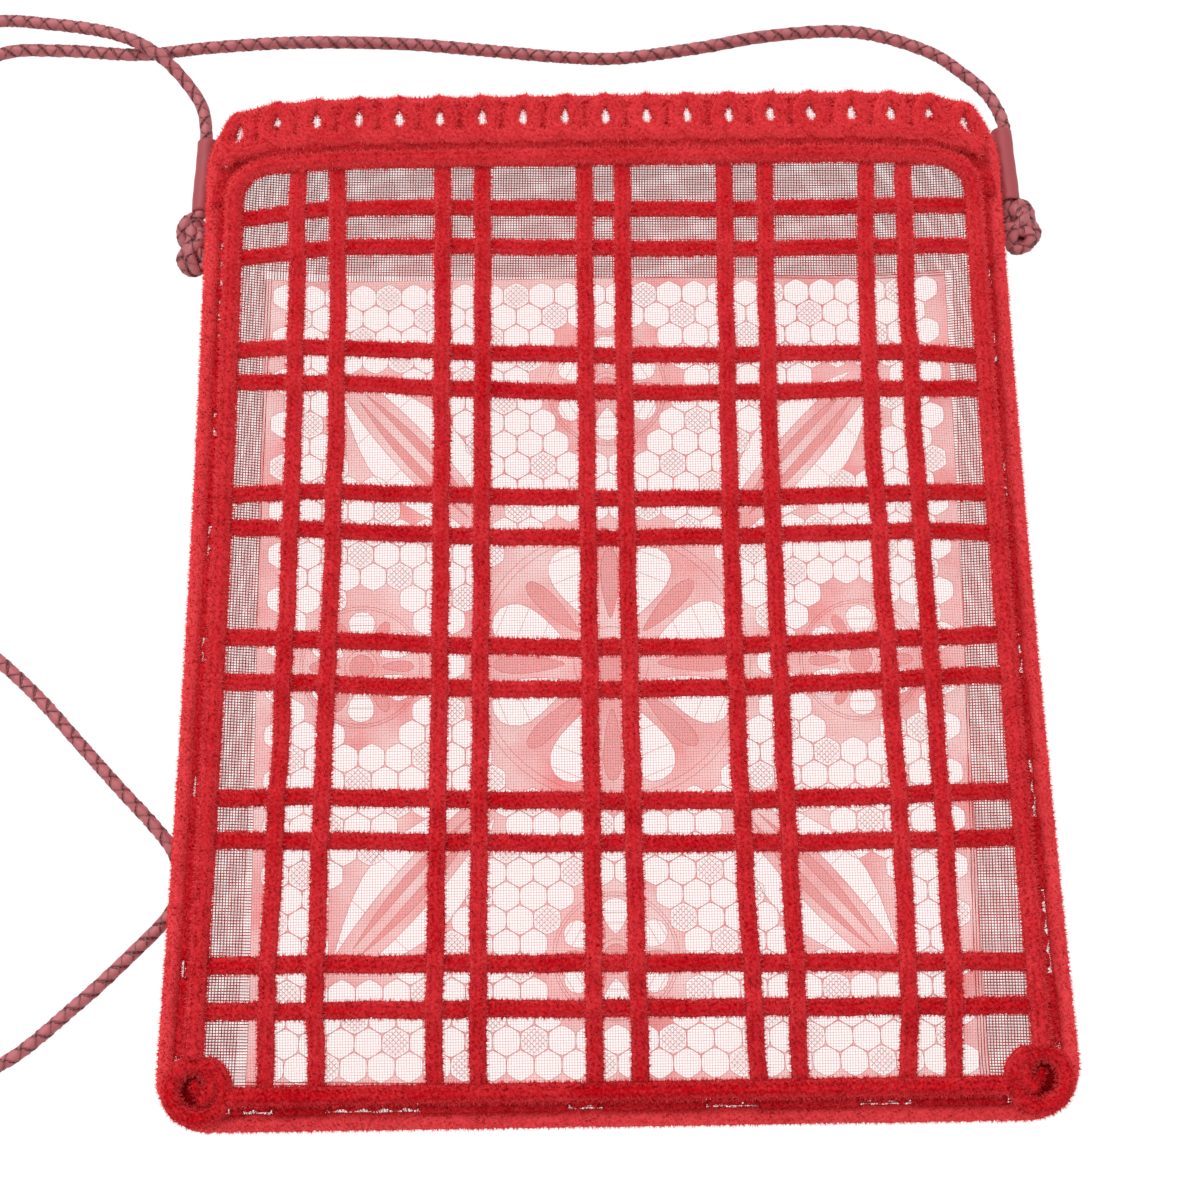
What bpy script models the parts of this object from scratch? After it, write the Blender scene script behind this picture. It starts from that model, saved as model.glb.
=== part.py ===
"""A flat evening pouch of fine net with a raised lattice of velour cord and a braided strap.

The pouch lies on its back: X across, +Y towards its open mouth, +Z up out of the lattice front.
The origin is the bottom centre of the pouch. All sizes are in metres.
"""
import math

import bmesh
import bpy
from mathutils import Vector

# Outline of the pouch, to the centre of the seam cord
HALF_WIDTH_MOUTH = 0.1034
HALF_WIDTH_MIDDLE = 0.1052
HALF_WIDTH_FOOT = 0.1099
HEIGHT = 0.2655
FOOT_CORNER = 0.011
MOUTH_CORNER = 0.024
MOUTH_CORNER_SPAN = 0.014

# The filled section: the seam's height, and how far front and back bulge away from it
SEAM_Z = 0.0077
FRONT_RISE = 0.0092
FRONT_SLOPE_LENGTH = 0.045
BACK_SLOPE_LENGTH = 0.034
MOUTH_RISE = 0.0062
MOUTH_BLEND = 0.075

# Cloth and cord sizes
NET = 0.0006
CLEARANCE = 0.0003
FACET_ROOM = 0.0002
SEAM_CORD = 0.0044
FRAME_CORD = 0.0046
BASE_CORD = 0.0037
LOOP_CORD = 0.0037
BACK_HEM_CORD = 0.0038
ROW_WIDTH = 0.0043
ROW_HEIGHT = 0.0023
COLUMN_WIDTH = 0.0043
COLUMN_HEIGHT = 0.0028

# The lattice on the front
FRAME_INSET_MOUTH = 0.0062
FRAME_INSET_FOOT = 0.0077
FOOT_CORD_INSET = 0.0063
FRAME_CORNER = 0.009
COLUMN_PAIRS = 5
COLUMN_MARGIN_MOUTH = 0.0234
COLUMN_MARGIN_FOOT = 0.0254
COLUMN_GAP_MOUTH = 0.0099
COLUMN_GAP_FOOT = 0.0116
ROW_PAIRS = 6
ROW_MARGIN_MOUTH = 0.0197
ROW_MARGIN_FOOT = 0.0247
ROW_GAP = 0.0100
NOTCH_RAMP = 0.0010
COLUMN_BRIDGE = 0.0017
ROW_STRAY_HALF = 0.092
COLUMN_STRAY_HALF = 0.115

# How far each hand-laid bar strays from its straight line, in mm: rows towards the mouth at the left
# end, left quarter, middle, right quarter and right end; columns to the right, from foot to mouth
ROW_STRAYS = [
    (0.9, 1.3, 0.3, -0.3, 1.6),
    (-0.3, 0.2, -0.9, -1.7, 0.1),
    (2.9, -0.1, -1.8, -2.2, -1.4),
    (3.8, 0.2, -1.8, -2.2, -0.6),
    (2.7, 0.7, -1.0, -1.3, 0.4),
    (4.0, 0.2, -1.2, -1.0, 0.1),
    (4.2, 1.0, -0.5, -0.2, 2.1),
    (3.0, 0.2, -1.0, -0.5, 2.0),
    (2.8, 1.4, 0.2, 0.1, 1.7),
    (2.3, 0.9, -0.1, -0.5, 0.2),
    (1.0, 0.6, 0.1, -0.4, -0.8),
    (0.1, -0.1, -0.4, -0.8, -1.1),
]
COLUMN_STRAYS = [
    (-1.7, -0.7, 0.1, -0.1, -1.7),
    (-1.2, -0.7, 0.3, 0.5, -1.2),
    (0.2, 0.7, 0.7, 0.4, -0.3),
    (-0.8, -0.3, 0.1, 0.4, 0.1),
    (0.1, 0.1, -0.1, -0.2, -0.1),
    (-0.6, -1.0, -1.0, -0.8, -0.1),
    (0.5, -1.5, -2.0, -1.5, -0.3),
    (-1.0, -1.7, -2.0, -1.4, 0.6),
    (-1.6, -1.3, -2.3, -2.5, 0.2),
    (-2.1, -1.7, -2.2, -2.1, 0.1),
]
MM = 0.001

# Shares of a bar's width and height where its sides turn over into its top
BAR_CROWN_WIDTH = 0.8
ROW_SHOULDER = 0.7
COLUMN_SHOULDER = 0.7

# The looped trim along the mouth
LOOP_COUNT = 19
LOOP_PITCH = 0.01070
LOOP_RISE = 0.0088
LOOP_BULGE = 0.00196

# The coil patches on the foot corners
COIL_RADIUS = 0.0075
COIL_CORD = 0.0040
COIL_TURNS = 1.35
COIL_START = 108
COIL_INSET_X = 0.0088
COIL_INSET_Y = 0.0078

# The lace set into the back
LACE_HALF_WIDTH = 0.0905
LACE_FOOT_INSET = 0.0078
LACE_MOUTH_INSET = 0.0460
MEDALLION_PETALS = 8
MEDALLION_RADIUS = 0.034
FLOWER_PETALS = 6
FLOWER_RADIUS = 0.015
FLOWER_OUT_X = 0.064
FLOWER_OUT_Y = 0.074
LEAF_LENGTH = 0.052
LEAF_WIDTH = 0.016
LEAF_OUT_X = 0.050
LEAF_OUT_Y = 0.056
TRELLIS_PITCH = 0.0125
TRELLIS_BAR = 0.0050

# The leather sleeves, knots and strap
STRAP = 0.0034
SLEEVE = 0.0056
SLEEVE_LENGTH = 0.0205
SLEEVE_BELOW_MOUTH = 0.0066
KNOT_LENGTH = 0.0165
KNOT_WIDTH = 0.0096
KNOT_DEPTH = 0.0066

# Where the strap runs, left sleeve to right sleeve, chosen by hand
STRAP_ROUTE = [
    (-0.1072, 0.1060, 0.0034),
    (-0.1072, 0.1150, 0.0034),
    (-0.1072, 0.1230, 0.0034),
    (-0.1072, 0.1290, 0.0034),
    (-0.1086, 0.1365, 0.0029),
    (-0.1125, 0.1430, 0.0032),
    (-0.1180, 0.1490, 0.0049),
    (-0.1245, 0.1538, 0.0056),
    (-0.1320, 0.1574, 0.0050),
    (-0.1400, 0.1602, 0.0033),
    (-0.1510, 0.1625, 0.0019),
    (-0.1660, 0.1636, 0.0019),
    (-0.1860, 0.1600, 0.0019),
    (-0.2120, 0.1450, 0.0019),
    (-0.2380, 0.1150, 0.0019),
    (-0.2540, 0.0720, 0.0019),
    (-0.2610, 0.0220, 0.0019),
    (-0.2580, -0.0280, 0.0019),
    (-0.2440, -0.0720, 0.0019),
    (-0.2220, -0.1030, 0.0019),
    (-0.1950, -0.1190, 0.0019),
    (-0.1700, -0.1205, 0.0019),
    (-0.1510, -0.1160, 0.0019),
    (-0.1330, -0.1020, 0.0019),
    (-0.1200, -0.0900, 0.0019),
    (-0.1110, -0.0805, 0.0019),
    (-0.1078, -0.0725, 0.0019),
    (-0.1105, -0.0645, 0.0019),
    (-0.1160, -0.0575, 0.0019),
    (-0.1245, -0.0485, 0.0019),
    (-0.1350, -0.0370, 0.0019),
    (-0.1460, -0.0250, 0.0019),
    (-0.1580, -0.0140, 0.0019),
    (-0.1760, 0.0010, 0.0019),
    (-0.1980, 0.0220, 0.0019),
    (-0.2130, 0.0520, 0.0019),
    (-0.2130, 0.0860, 0.0019),
    (-0.2020, 0.1180, 0.0019),
    (-0.1840, 0.1420, 0.0019),
    (-0.1650, 0.1535, 0.0019),
    (-0.1480, 0.1545, 0.0019),
    (-0.1260, 0.1530, 0.0019),
    (-0.1070, 0.1548, 0.0019),
    (-0.0830, 0.1560, 0.0019),
    (-0.0550, 0.1552, 0.0019),
    (-0.0330, 0.1530, 0.0019),
    (-0.0110, 0.1506, 0.0019),
    (0.0050, 0.1500, 0.0019),
    (0.0270, 0.1528, 0.0019),
    (0.0440, 0.1558, 0.0019),
    (0.0630, 0.1572, 0.0019),
    (0.0760, 0.1556, 0.0019),
    (0.0900, 0.1504, 0.0019),
    (0.0982, 0.1442, 0.0021),
    (0.1048, 0.1372, 0.0028),
    (0.1083, 0.1290, 0.0034),
    (0.1083, 0.1230, 0.0034),
    (0.1083, 0.1150, 0.0034),
    (0.1083, 0.1060, 0.0034),
]
STRAP_POINTS = 76
NO_HOLE = (0, 0, 0, 0)

# Outer places that several pieces share
SEAM_FOOT_Y = -HEIGHT / 2 + SEAM_CORD / 2
MOUTH_Y = HEIGHT / 2
MOUTH_CORNER_Y = MOUTH_Y - MOUTH_CORNER_SPAN - SEAM_CORD - CLEARANCE
NET_INSET = SEAM_CORD / 2 + CLEARANCE
LOOP_TOP_Y = MOUTH_Y - LOOP_CORD / 2
LOOP_MIDDLE_Y = LOOP_TOP_Y - LOOP_RISE / 2
BASE_CORD_Y = LOOP_TOP_Y - LOOP_RISE - LOOP_CORD / 2 - BASE_CORD / 2 - CLEARANCE
FRAME_TOP_Y = BASE_CORD_Y - BASE_CORD / 2 - FRAME_CORD / 2 - CLEARANCE
FRAME_FOOT_Y = SEAM_FOOT_Y + FOOT_CORD_INSET
NET_MOUTH_Y = LOOP_TOP_Y - LOOP_CORD / 4
BACK_HEM_Y = NET_MOUTH_Y - BACK_HEM_CORD / 2
BACK_DROP = SEAM_Z
SLEEVE_TOP_Y = MOUTH_Y - SLEEVE_BELOW_MOUTH
SLEEVE_WALL = (SLEEVE - STRAP) / 2 - CLEARANCE
COLUMN_LAST = COLUMN_PAIRS // 2
COLUMN_END_MOUTH = HALF_WIDTH_MOUTH - FRAME_INSET_MOUTH - COLUMN_MARGIN_MOUTH
COLUMN_END_FOOT = HALF_WIDTH_FOOT - FRAME_INSET_FOOT - COLUMN_MARGIN_FOOT
ROW_FIRST_Y = FRAME_TOP_Y - ROW_MARGIN_MOUTH
ROW_PITCH = (ROW_FIRST_Y - FRAME_FOOT_Y - ROW_MARGIN_FOOT) / (ROW_PAIRS - 1)
LACE_FOOT_Y = SEAM_FOOT_Y + LACE_FOOT_INSET
LACE_MOUTH_Y = MOUTH_Y - LACE_MOUTH_INSET
LACE_MIDDLE_Y = (LACE_FOOT_Y + LACE_MOUTH_Y) / 2


def clear_scene():
    for item in list(bpy.data.objects):
        bpy.data.objects.remove(item, do_unlink=True)


def material(name, colour, roughness):
    mat = bpy.data.materials.new(name)
    mat.use_nodes = True
    shader = mat.node_tree.nodes["Principled BSDF"]
    shader.inputs["Base Color"].default_value = (*colour, 1.0)
    shader.inputs["Roughness"].default_value = roughness
    shader.inputs["Metallic"].default_value = 0.0
    return mat


def clamp(value):
    return max(0.0, min(1.0, value))


def ease(value):
    value = clamp(value)
    return value * value * (3.0 - 2.0 * value)


def along(y):
    """0 at the foot seam, 1 at the mouth."""
    return (y - SEAM_FOOT_Y) / (MOUTH_Y - SEAM_FOOT_Y)


def half_width(y):
    """Half the width at y, to the seam cord's centre, as a parabola through three widths."""
    t = 2.0 * along(y) - 1.0
    spread = (HALF_WIDTH_MOUTH - HALF_WIDTH_FOOT) / 2.0
    flare = (HALF_WIDTH_MOUTH + HALF_WIDTH_FOOT) / 2.0 - HALF_WIDTH_MIDDLE
    return HALF_WIDTH_MIDDLE + spread * t + flare * t * t


def half_span(y, inset):
    """Half the width inside the outline, with its rounded corners, less an inset."""
    span = half_width(y) - inset
    radius = FOOT_CORNER - inset
    drop = SEAM_FOOT_Y + FOOT_CORNER - y
    if drop > 0.0:
        span -= radius - math.sqrt(max(0.0, radius * radius - drop * drop))
    rise = y - MOUTH_CORNER_Y
    if rise > 0.0:
        radius = MOUTH_CORNER - inset
        span -= radius - math.sqrt(max(0.0, radius * radius - rise * rise))
    return span


def swell(x, y, slope_length, power):
    """0 at the seam, rising to 1 in the middle of the pouch."""
    from_side = clamp((half_width(y) - abs(x)) / slope_length)
    from_foot = clamp((y - SEAM_FOOT_Y) / slope_length)
    return (1.0 - (1.0 - from_side) ** power) * (1.0 - (1.0 - from_foot) ** power)


def front_z(x, y):
    """Underside of the front net."""
    near_mouth = ease((y - MOUTH_Y + MOUTH_BLEND) / MOUTH_BLEND)
    rise = FRONT_RISE + (MOUTH_RISE - FRONT_RISE) * near_mouth
    return SEAM_Z + rise * swell(x, y, FRONT_SLOPE_LENGTH, 2.0)


def back_z(x, y):
    """Underside of the back, which lies flat except near the seam."""
    return BACK_DROP * (1.0 - swell(x, y, BACK_SLOPE_LENGTH, 2.2))


def on_front(x, y):
    """Where a piece that is laid on the front net has its underside."""
    return front_z(x, y) + NET + CLEARANCE + FACET_ROOM


def add_object(name, verts, faces, mat):
    mesh = bpy.data.meshes.new(name)
    mesh.from_pydata([tuple(v) for v in verts], [], faces)
    bm = bmesh.new()
    bm.from_mesh(mesh)
    bmesh.ops.recalc_face_normals(bm, faces=bm.faces)
    bm.to_mesh(mesh)
    bm.free()
    mesh.materials.append(mat)
    item = bpy.data.objects.new(name, mesh)
    bpy.context.scene.collection.objects.link(item)
    return item


def loft(name, rings, mat):
    """A closed body through rings of equal length, with flat ends."""
    count = len(rings[0])
    verts = [point for ring in rings for point in ring]
    faces = [tuple(range(count)), tuple(range(len(verts) - count, len(verts)))]
    for k in range(len(rings) - 1):
        for j in range(count):
            a = k * count + j
            b = k * count + (j + 1) % count
            faces.append((a, b, b + count, a + count))
    item = add_object(name, verts, faces, mat)
    item.data.shade_smooth()
    item.data.set_sharp_from_angle(angle=math.radians(50))
    return item


def round_rings(points, radii, sides):
    """Rings of a round tube along the points, carried without twist."""
    rings = []
    side = None
    for k, point in enumerate(points):
        ahead = points[min(k + 1, len(points) - 1)] - points[max(k - 1, 0)]
        ahead.normalize()
        if side is None:
            side = ahead.cross(Vector((0, 0, 1)))
            if side.length < 0.01:
                side = ahead.cross(Vector((0, 1, 0)))
        side = side - ahead * side.dot(ahead)
        side.normalize()
        up = side.cross(ahead)
        ring = []
        for j in range(sides):
            turn = 2.0 * math.pi * j / sides
            ring.append(point + radii[k] * (math.cos(turn) * side + math.sin(turn) * up))
        rings.append(ring)
    return rings


def round_cord(name, points, diameter, sides, mat):
    radii = [diameter / 2.0] * len(points)
    return loft(name, round_rings(points, radii, sides), mat)


def smooth_points(route, count, straight):
    """Even steps along a smooth curve, between the straight points at the route's two ends."""
    pts = [Vector(p) for p in route]
    fine = []
    steps = 16
    for k in range(straight, len(pts) - straight - 1):
        p0, p1, p2, p3 = pts[k - 1 : k + 3]
        for j in range(steps):
            t = j / steps
            bend = 2 * p0 - 5 * p1 + 4 * p2 - p3
            kick = 3 * p1 - p0 - 3 * p2 + p3
            fine.append(p1 + 0.5 * ((p2 - p0) * t + bend * t * t + kick * t * t * t))
    fine.append(pts[-straight - 1])
    lengths = [0.0]
    for a, b in zip(fine, fine[1:]):
        lengths.append(lengths[-1] + (b - a).length)
    result = []
    at = 0
    for k in range(count):
        want = lengths[-1] * k / (count - 1)
        while at < len(fine) - 2 and lengths[at + 1] < want:
            at += 1
        share = (want - lengths[at]) / (lengths[at + 1] - lengths[at])
        result.append(fine[at].lerp(fine[at + 1], clamp(share)))
    return pts[:straight] + result + pts[-straight:]


def seam_cord(mat):
    """The outer cord: down one side, round the foot and up the other side."""
    corner_steps = 5
    top = NET_MOUTH_Y - SEAM_CORD
    arc_y = SEAM_FOOT_Y + FOOT_CORNER
    ys = spaced(top, MOUTH_CORNER_Y, 3) + spaced(MOUTH_CORNER_Y, arc_y, 7)[1:-1]
    path = [(half_span(y, 0.0), y) for y in ys]
    arc_x = half_width(arc_y) - FOOT_CORNER
    for k in range(corner_steps + 1):
        turn = 0.5 * math.pi * k / corner_steps
        path.append((arc_x + FOOT_CORNER * math.cos(turn), arc_y - FOOT_CORNER * math.sin(turn)))
    left = [(-x, y) for x, y in path]
    middle = [(arc_x * (1.0 - k / 3.0), SEAM_FOOT_Y) for k in range(1, 6)]
    whole = path + middle + left[::-1]
    points = [Vector((x, y, SEAM_Z)) for x, y in whole]
    return round_cord("seam_cord", points, SEAM_CORD, 6, mat)


def frame_x(y):
    share = clamp(along(y))
    inset = FRAME_INSET_FOOT + (FRAME_INSET_MOUTH - FRAME_INSET_FOOT) * share
    return half_width(y) - inset


def coil_centre():
    y = SEAM_FOOT_Y + COIL_INSET_Y
    return half_width(y) - COIL_INSET_X, y


def steepness(x, y):
    """How much longer the front net is than its plan, at this place."""
    step = 0.0005
    across = (front_z(x + step, y) - front_z(x - step, y)) / (2.0 * step)
    up = (front_z(x, y + step) - front_z(x, y - step)) / (2.0 * step)
    return math.sqrt(1.0 + across * across + up * up)


def laid(points, radius):
    """Centre points of a round cord of this radius that is laid on the front."""
    result = []
    for x, y in points:
        lift = (NET + CLEARANCE + radius) * steepness(x, y) + FACET_ROOM
        result.append(Vector((x, y, front_z(x, y) + lift)))
    return result


def frame_cords(mat):
    """The inner border: sides and mouth in one cord, the foot in another, both ending at the coils."""
    radius = FRAME_CORD / 2.0
    coil_x, coil_y = coil_centre()
    reach = COIL_RADIUS + COIL_CORD / 2.0 + radius * 0.5 + CLEARANCE
    start = coil_y + reach
    corner_y = FRAME_TOP_Y - FRAME_CORNER
    side = []
    steps = 9
    for k in range(steps):
        y = start + (corner_y - start) * k / steps
        side.append((frame_x(y), y))
    corner_x = frame_x(corner_y) - FRAME_CORNER
    for k in range(4):
        turn = 0.5 * math.pi * k / 3
        side.append(
            (corner_x + FRAME_CORNER * math.cos(turn), corner_y + FRAME_CORNER * math.sin(turn))
        )
    top = [(corner_x * (1.0 - k / 3.0), FRAME_TOP_Y) for k in range(1, 6)]
    whole = side + top + [(-x, y) for x, y in side[::-1]]
    round_cord("frame_cord", laid(whole, radius), FRAME_CORD, 5, mat)
    end = coil_x - reach
    foot = [(end * (1.0 - 2.0 * k / 8.0), FRAME_FOOT_Y) for k in range(9)]
    round_cord("frame_foot_cord", laid(foot, radius), FRAME_CORD, 5, mat)


def inside_seam(x, y):
    """How far a place lies inside the seam cord's centre."""
    arc_y = SEAM_FOOT_Y + FOOT_CORNER
    arc_x = half_width(arc_y) - FOOT_CORNER
    if y < arc_y and abs(x) > arc_x:
        return FOOT_CORNER - math.hypot(abs(x) - arc_x, y - arc_y)
    return min(half_width(y) - abs(x), y - SEAM_FOOT_Y)


def corner_coils(mat):
    """A spiral of cord on each foot corner, resting on the net and over the seam cord."""
    centre_x, centre_y = coil_centre()
    steps = 24
    apart = SEAM_CORD / 2.0 + COIL_CORD / 2.0 + CLEARANCE
    for side, name in ((1, "corner_coil_right"), (-1, "corner_coil_left")):
        path = []
        for k in range(steps + 1):
            turn = 2.0 * math.pi * COIL_TURNS * k / steps
            radius = COIL_RADIUS - (COIL_CORD + CLEARANCE) * turn / (2.0 * math.pi)
            angle = math.radians(COIL_START) + turn
            path.append((centre_x + radius * math.cos(angle), centre_y + radius * math.sin(angle)))
        points = laid(path, COIL_CORD / 2.0)
        for point in points:
            aside = inside_seam(point.x, point.y)
            over = SEAM_Z + math.sqrt(max(0.0, apart * apart - aside * aside)) + FACET_ROOM
            point.z = max(point.z, over)
            point.x *= side
        round_cord(name, points, COIL_CORD, 5, mat)


def loop_trim(mat):
    """One cord laid in open loops along the mouth."""
    samples = 8
    total = LOOP_COUNT * samples
    radius = LOOP_CORD / 2.0
    start_x = -LOOP_COUNT * LOOP_PITCH / 2.0
    path = []
    for k in range(total + 1):
        turn = 2.0 * math.pi * k / samples
        x = start_x + LOOP_PITCH * k / samples + LOOP_BULGE * math.sin(2.0 * turn)
        y = LOOP_MIDDLE_Y - LOOP_RISE / 2.0 * math.cos(turn)
        path.append((x, y))
    round_cord("loop_trim", laid(path, radius), LOOP_CORD, 5, mat)


def mouth_cords(mat):
    """The straight cord under the loops, and the plain hem cord of the back."""
    steps = 10
    reach = frame_x(BASE_CORD_Y) + FRAME_INSET_MOUTH / 4.0
    base = [(reach * (2.0 * k / steps - 1.0), BASE_CORD_Y) for k in range(steps + 1)]
    round_cord("loop_base_cord", laid(base, BASE_CORD / 2.0), BASE_CORD, 5, mat)
    radius = BACK_HEM_CORD / 2.0
    reach = half_span(BACK_HEM_Y, NET_INSET + radius)
    hem = []
    for k in range(steps + 1):
        share = 2.0 * k / steps - 1.0
        x = reach * math.sin(0.5 * math.pi * share)
        hem.append(Vector((x, BACK_HEM_Y, back_z(x, BACK_HEM_Y) + radius + FACET_ROOM)))
    round_cord("back_hem_cord", hem, BACK_HEM_CORD, 6, mat)


def stray(values, share):
    """The smooth bend through a bar's five measured places, at share from -1 to 1 along it."""
    places = (-1.0, -0.5, 0.0, 0.5, 1.0)
    total = 0.0
    for k, value in enumerate(values):
        weight = 1.0
        for j, other in enumerate(places):
            if j != k:
                weight *= (share - other) / (places[k] - other)
        total += value * weight
    return total * MM


def row_y(number, x):
    """Middle of a row at x. Rows count from the mouth, in pairs."""
    away = ROW_GAP / 2.0 if number % 2 == 0 else -ROW_GAP / 2.0
    bend = stray(ROW_STRAYS[number], x / ROW_STRAY_HALF)
    return ROW_FIRST_Y - (number // 2) * ROW_PITCH + away + bend


def rows(mat):
    """Bars across the front, laid on the net between the sides of the frame."""
    half = ROW_WIDTH / 2.0
    steps = 8
    for number in range(2 * ROW_PAIRS):
        ends = [row_y(number, side * ROW_STRAY_HALF) for side in (-1, 1)]
        reach = min(frame_x(y) for y in ends) - FRAME_CORD / 2.0 - CLEARANCE
        rings = []
        for k in range(steps + 1):
            x = reach * (2.0 * k / steps - 1.0)
            y = row_y(number, x)
            low = on_front(x, y - half), on_front(x, y + half)
            base = max(low)
            rings.append(
                [
                    Vector((x, y - half, base)),
                    Vector((x, y + half, base)),
                    Vector((x, y + half * BAR_CROWN_WIDTH, base + ROW_HEIGHT * ROW_SHOULDER)),
                    Vector((x, y, base + ROW_HEIGHT)),
                    Vector((x, y - half * BAR_CROWN_WIDTH, base + ROW_HEIGHT * ROW_SHOULDER)),
                ]
            )
        loft(f"row_{number + 1:02d}", rings, mat)


def column_x(number, y):
    """Middle of a column at y. Columns count from the left, in pairs."""
    pair = number // 2 - COLUMN_LAST
    side = -1 if number % 2 == 0 else 1
    share = clamp((y - FRAME_FOOT_Y) / (FRAME_TOP_Y - FRAME_FOOT_Y))
    end = COLUMN_END_FOOT + (COLUMN_END_MOUTH - COLUMN_END_FOOT) * share
    gap = COLUMN_GAP_FOOT + (COLUMN_GAP_MOUTH - COLUMN_GAP_FOOT) * share
    bend = stray(COLUMN_STRAYS[number], y / COLUMN_STRAY_HALF)
    return pair * end / COLUMN_LAST + side * gap / 2.0 + bend


def columns(mat):
    """Bars up the front, laid on the net and bridging each pair of rows."""
    half = COLUMN_WIDTH / 2.0
    low_end = FRAME_FOOT_Y + FRAME_CORD / 2.0 + CLEARANCE
    high_end = FRAME_TOP_Y - FRAME_CORD / 2.0 - CLEARANCE
    raised = ROW_HEIGHT + 2.0 * CLEARANCE
    aside = ROW_WIDTH / 2.0 + CLEARANCE
    for number in range(2 * COLUMN_PAIRS):
        stations = [(low_end, 0.0)]
        for k in range(ROW_PAIRS - 1, -1, -1):
            x = column_x(number, ROW_FIRST_Y - k * ROW_PITCH)
            low = min(row_y(2 * k + 1, x - half), row_y(2 * k + 1, x + half)) - aside
            high = max(row_y(2 * k, x - half), row_y(2 * k, x + half)) + aside
            stations += [
                (low - NOTCH_RAMP, 0.0),
                (low, raised),
                (high, raised),
                (high + NOTCH_RAMP, 0.0),
            ]
        stations.append((high_end, 0.0))
        rings = []
        for y, lift in stations:
            x = column_x(number, y)
            base = max(on_front(x - half, y), on_front(x + half, y)) + lift
            height = COLUMN_BRIDGE if lift else COLUMN_HEIGHT
            shoulder = base + height * COLUMN_SHOULDER
            rings.append(
                [
                    Vector((x - half, y, base)),
                    Vector((x + half, y, base)),
                    Vector((x + half * BAR_CROWN_WIDTH, y, shoulder)),
                    Vector((x, y, base + height)),
                    Vector((x - half * BAR_CROWN_WIDTH, y, shoulder)),
                ]
            )
        loft(f"column_{number + 1:02d}", rings, mat)


def spaced(low, high, count):
    return [low + (high - low) * k / count for k in range(count + 1)]


def front_net(mat):
    low = SEAM_FOOT_Y + NET_INSET
    ys = spaced(low, low + FOOT_CORNER - NET_INSET, 3)
    ys += spaced(ys[-1], MOUTH_CORNER_Y, 10)[1:]
    ys += spaced(MOUTH_CORNER_Y, NET_MOUTH_Y, 2)[1:]
    across = 16
    xs_at = []
    for y in ys:
        half = half_span(y, NET_INSET)
        xs_at.append([half * (2.0 * j / across - 1.0) for j in range(across + 1)])
    return grid_sheet("front_net", ys, xs_at, front_z, NO_HOLE, mat)


def back_net(mat):
    """The back's net border, open in the middle where the lace is set in."""
    low = SEAM_FOOT_Y + NET_INSET
    high = BACK_HEM_Y - BACK_HEM_CORD / 2.0 - CLEARANCE
    foot = LACE_FOOT_Y - CLEARANCE
    mouth = LACE_MOUTH_Y + CLEARANCE
    half = LACE_HALF_WIDTH + CLEARANCE
    ys = spaced(low, foot, 3)
    first = len(ys) - 1
    ys += spaced(foot, mouth, 7)[1:]
    last = len(ys) - 1
    ys += [MOUTH_CORNER_Y, high]
    edge = 2
    inner = 10
    verts_at = []
    for y in ys:
        outer = half_span(y, NET_INSET)
        inside = min(half, outer - CLEARANCE * 2.0)
        left = [-outer + (outer - inside) * k / edge for k in range(edge)]
        middle = [inside * (2.0 * k / inner - 1.0) for k in range(inner + 1)]
        verts_at.append(left + middle + [-x for x in left[::-1]])
    return grid_sheet("back_net", ys, verts_at, back_z, (first, last, edge, edge + inner), mat)


def grid_sheet(name, ys, xs_at, height_at, hole, mat):
    """A thin closed sheet on a grid whose cells inside hole are left out."""
    i0, i1, j0, j1 = hole
    count = len(xs_at[0])
    verts, faces, edges, lower, upper = [], [], {}, {}, {}
    for i in range(len(ys) - 1):
        for j in range(count - 1):
            if i0 <= i < i1 and j0 <= j < j1:
                continue
            ring = [(i, j), (i, j + 1), (i + 1, j + 1), (i + 1, j)]
            for corner in ring:
                if corner not in lower:
                    x, y = xs_at[corner[0]][corner[1]], ys[corner[0]]
                    lower[corner] = len(verts)
                    verts.append(Vector((x, y, height_at(x, y))))
                    upper[corner] = len(verts)
                    verts.append(Vector((x, y, height_at(x, y) + NET)))
            faces.append(tuple(lower[c] for c in ring[::-1]))
            faces.append(tuple(upper[c] for c in ring))
            for a, b in zip(ring, ring[1:] + ring[:1]):
                if (b, a) in edges:
                    del edges[b, a]
                else:
                    edges[a, b] = True
    for a, b in edges:
        faces.append((lower[a], lower[b], upper[b], upper[a]))
    item = add_object(name, verts, faces, mat)
    item.data.shade_smooth()
    item.data.set_sharp_from_angle(angle=math.radians(50))
    return item


def flower_gaps(centre_x, centre_y, radius, petals):
    """Kite-shaped gaps between the petals of a round flower."""
    gaps = []
    width = math.pi / petals * 0.45
    for k in range(petals):
        angle = 2.0 * math.pi * (k + 0.5) / petals
        outline = []
        for reach, turn in ((0.36, 0.0), (0.76, width), (0.92, 0.0), (0.76, -width)):
            x = centre_x + radius * reach * math.cos(angle + turn)
            y = centre_y + radius * reach * math.sin(angle + turn)
            outline.append((x, y))
        gaps.append(outline)
    return gaps


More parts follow.
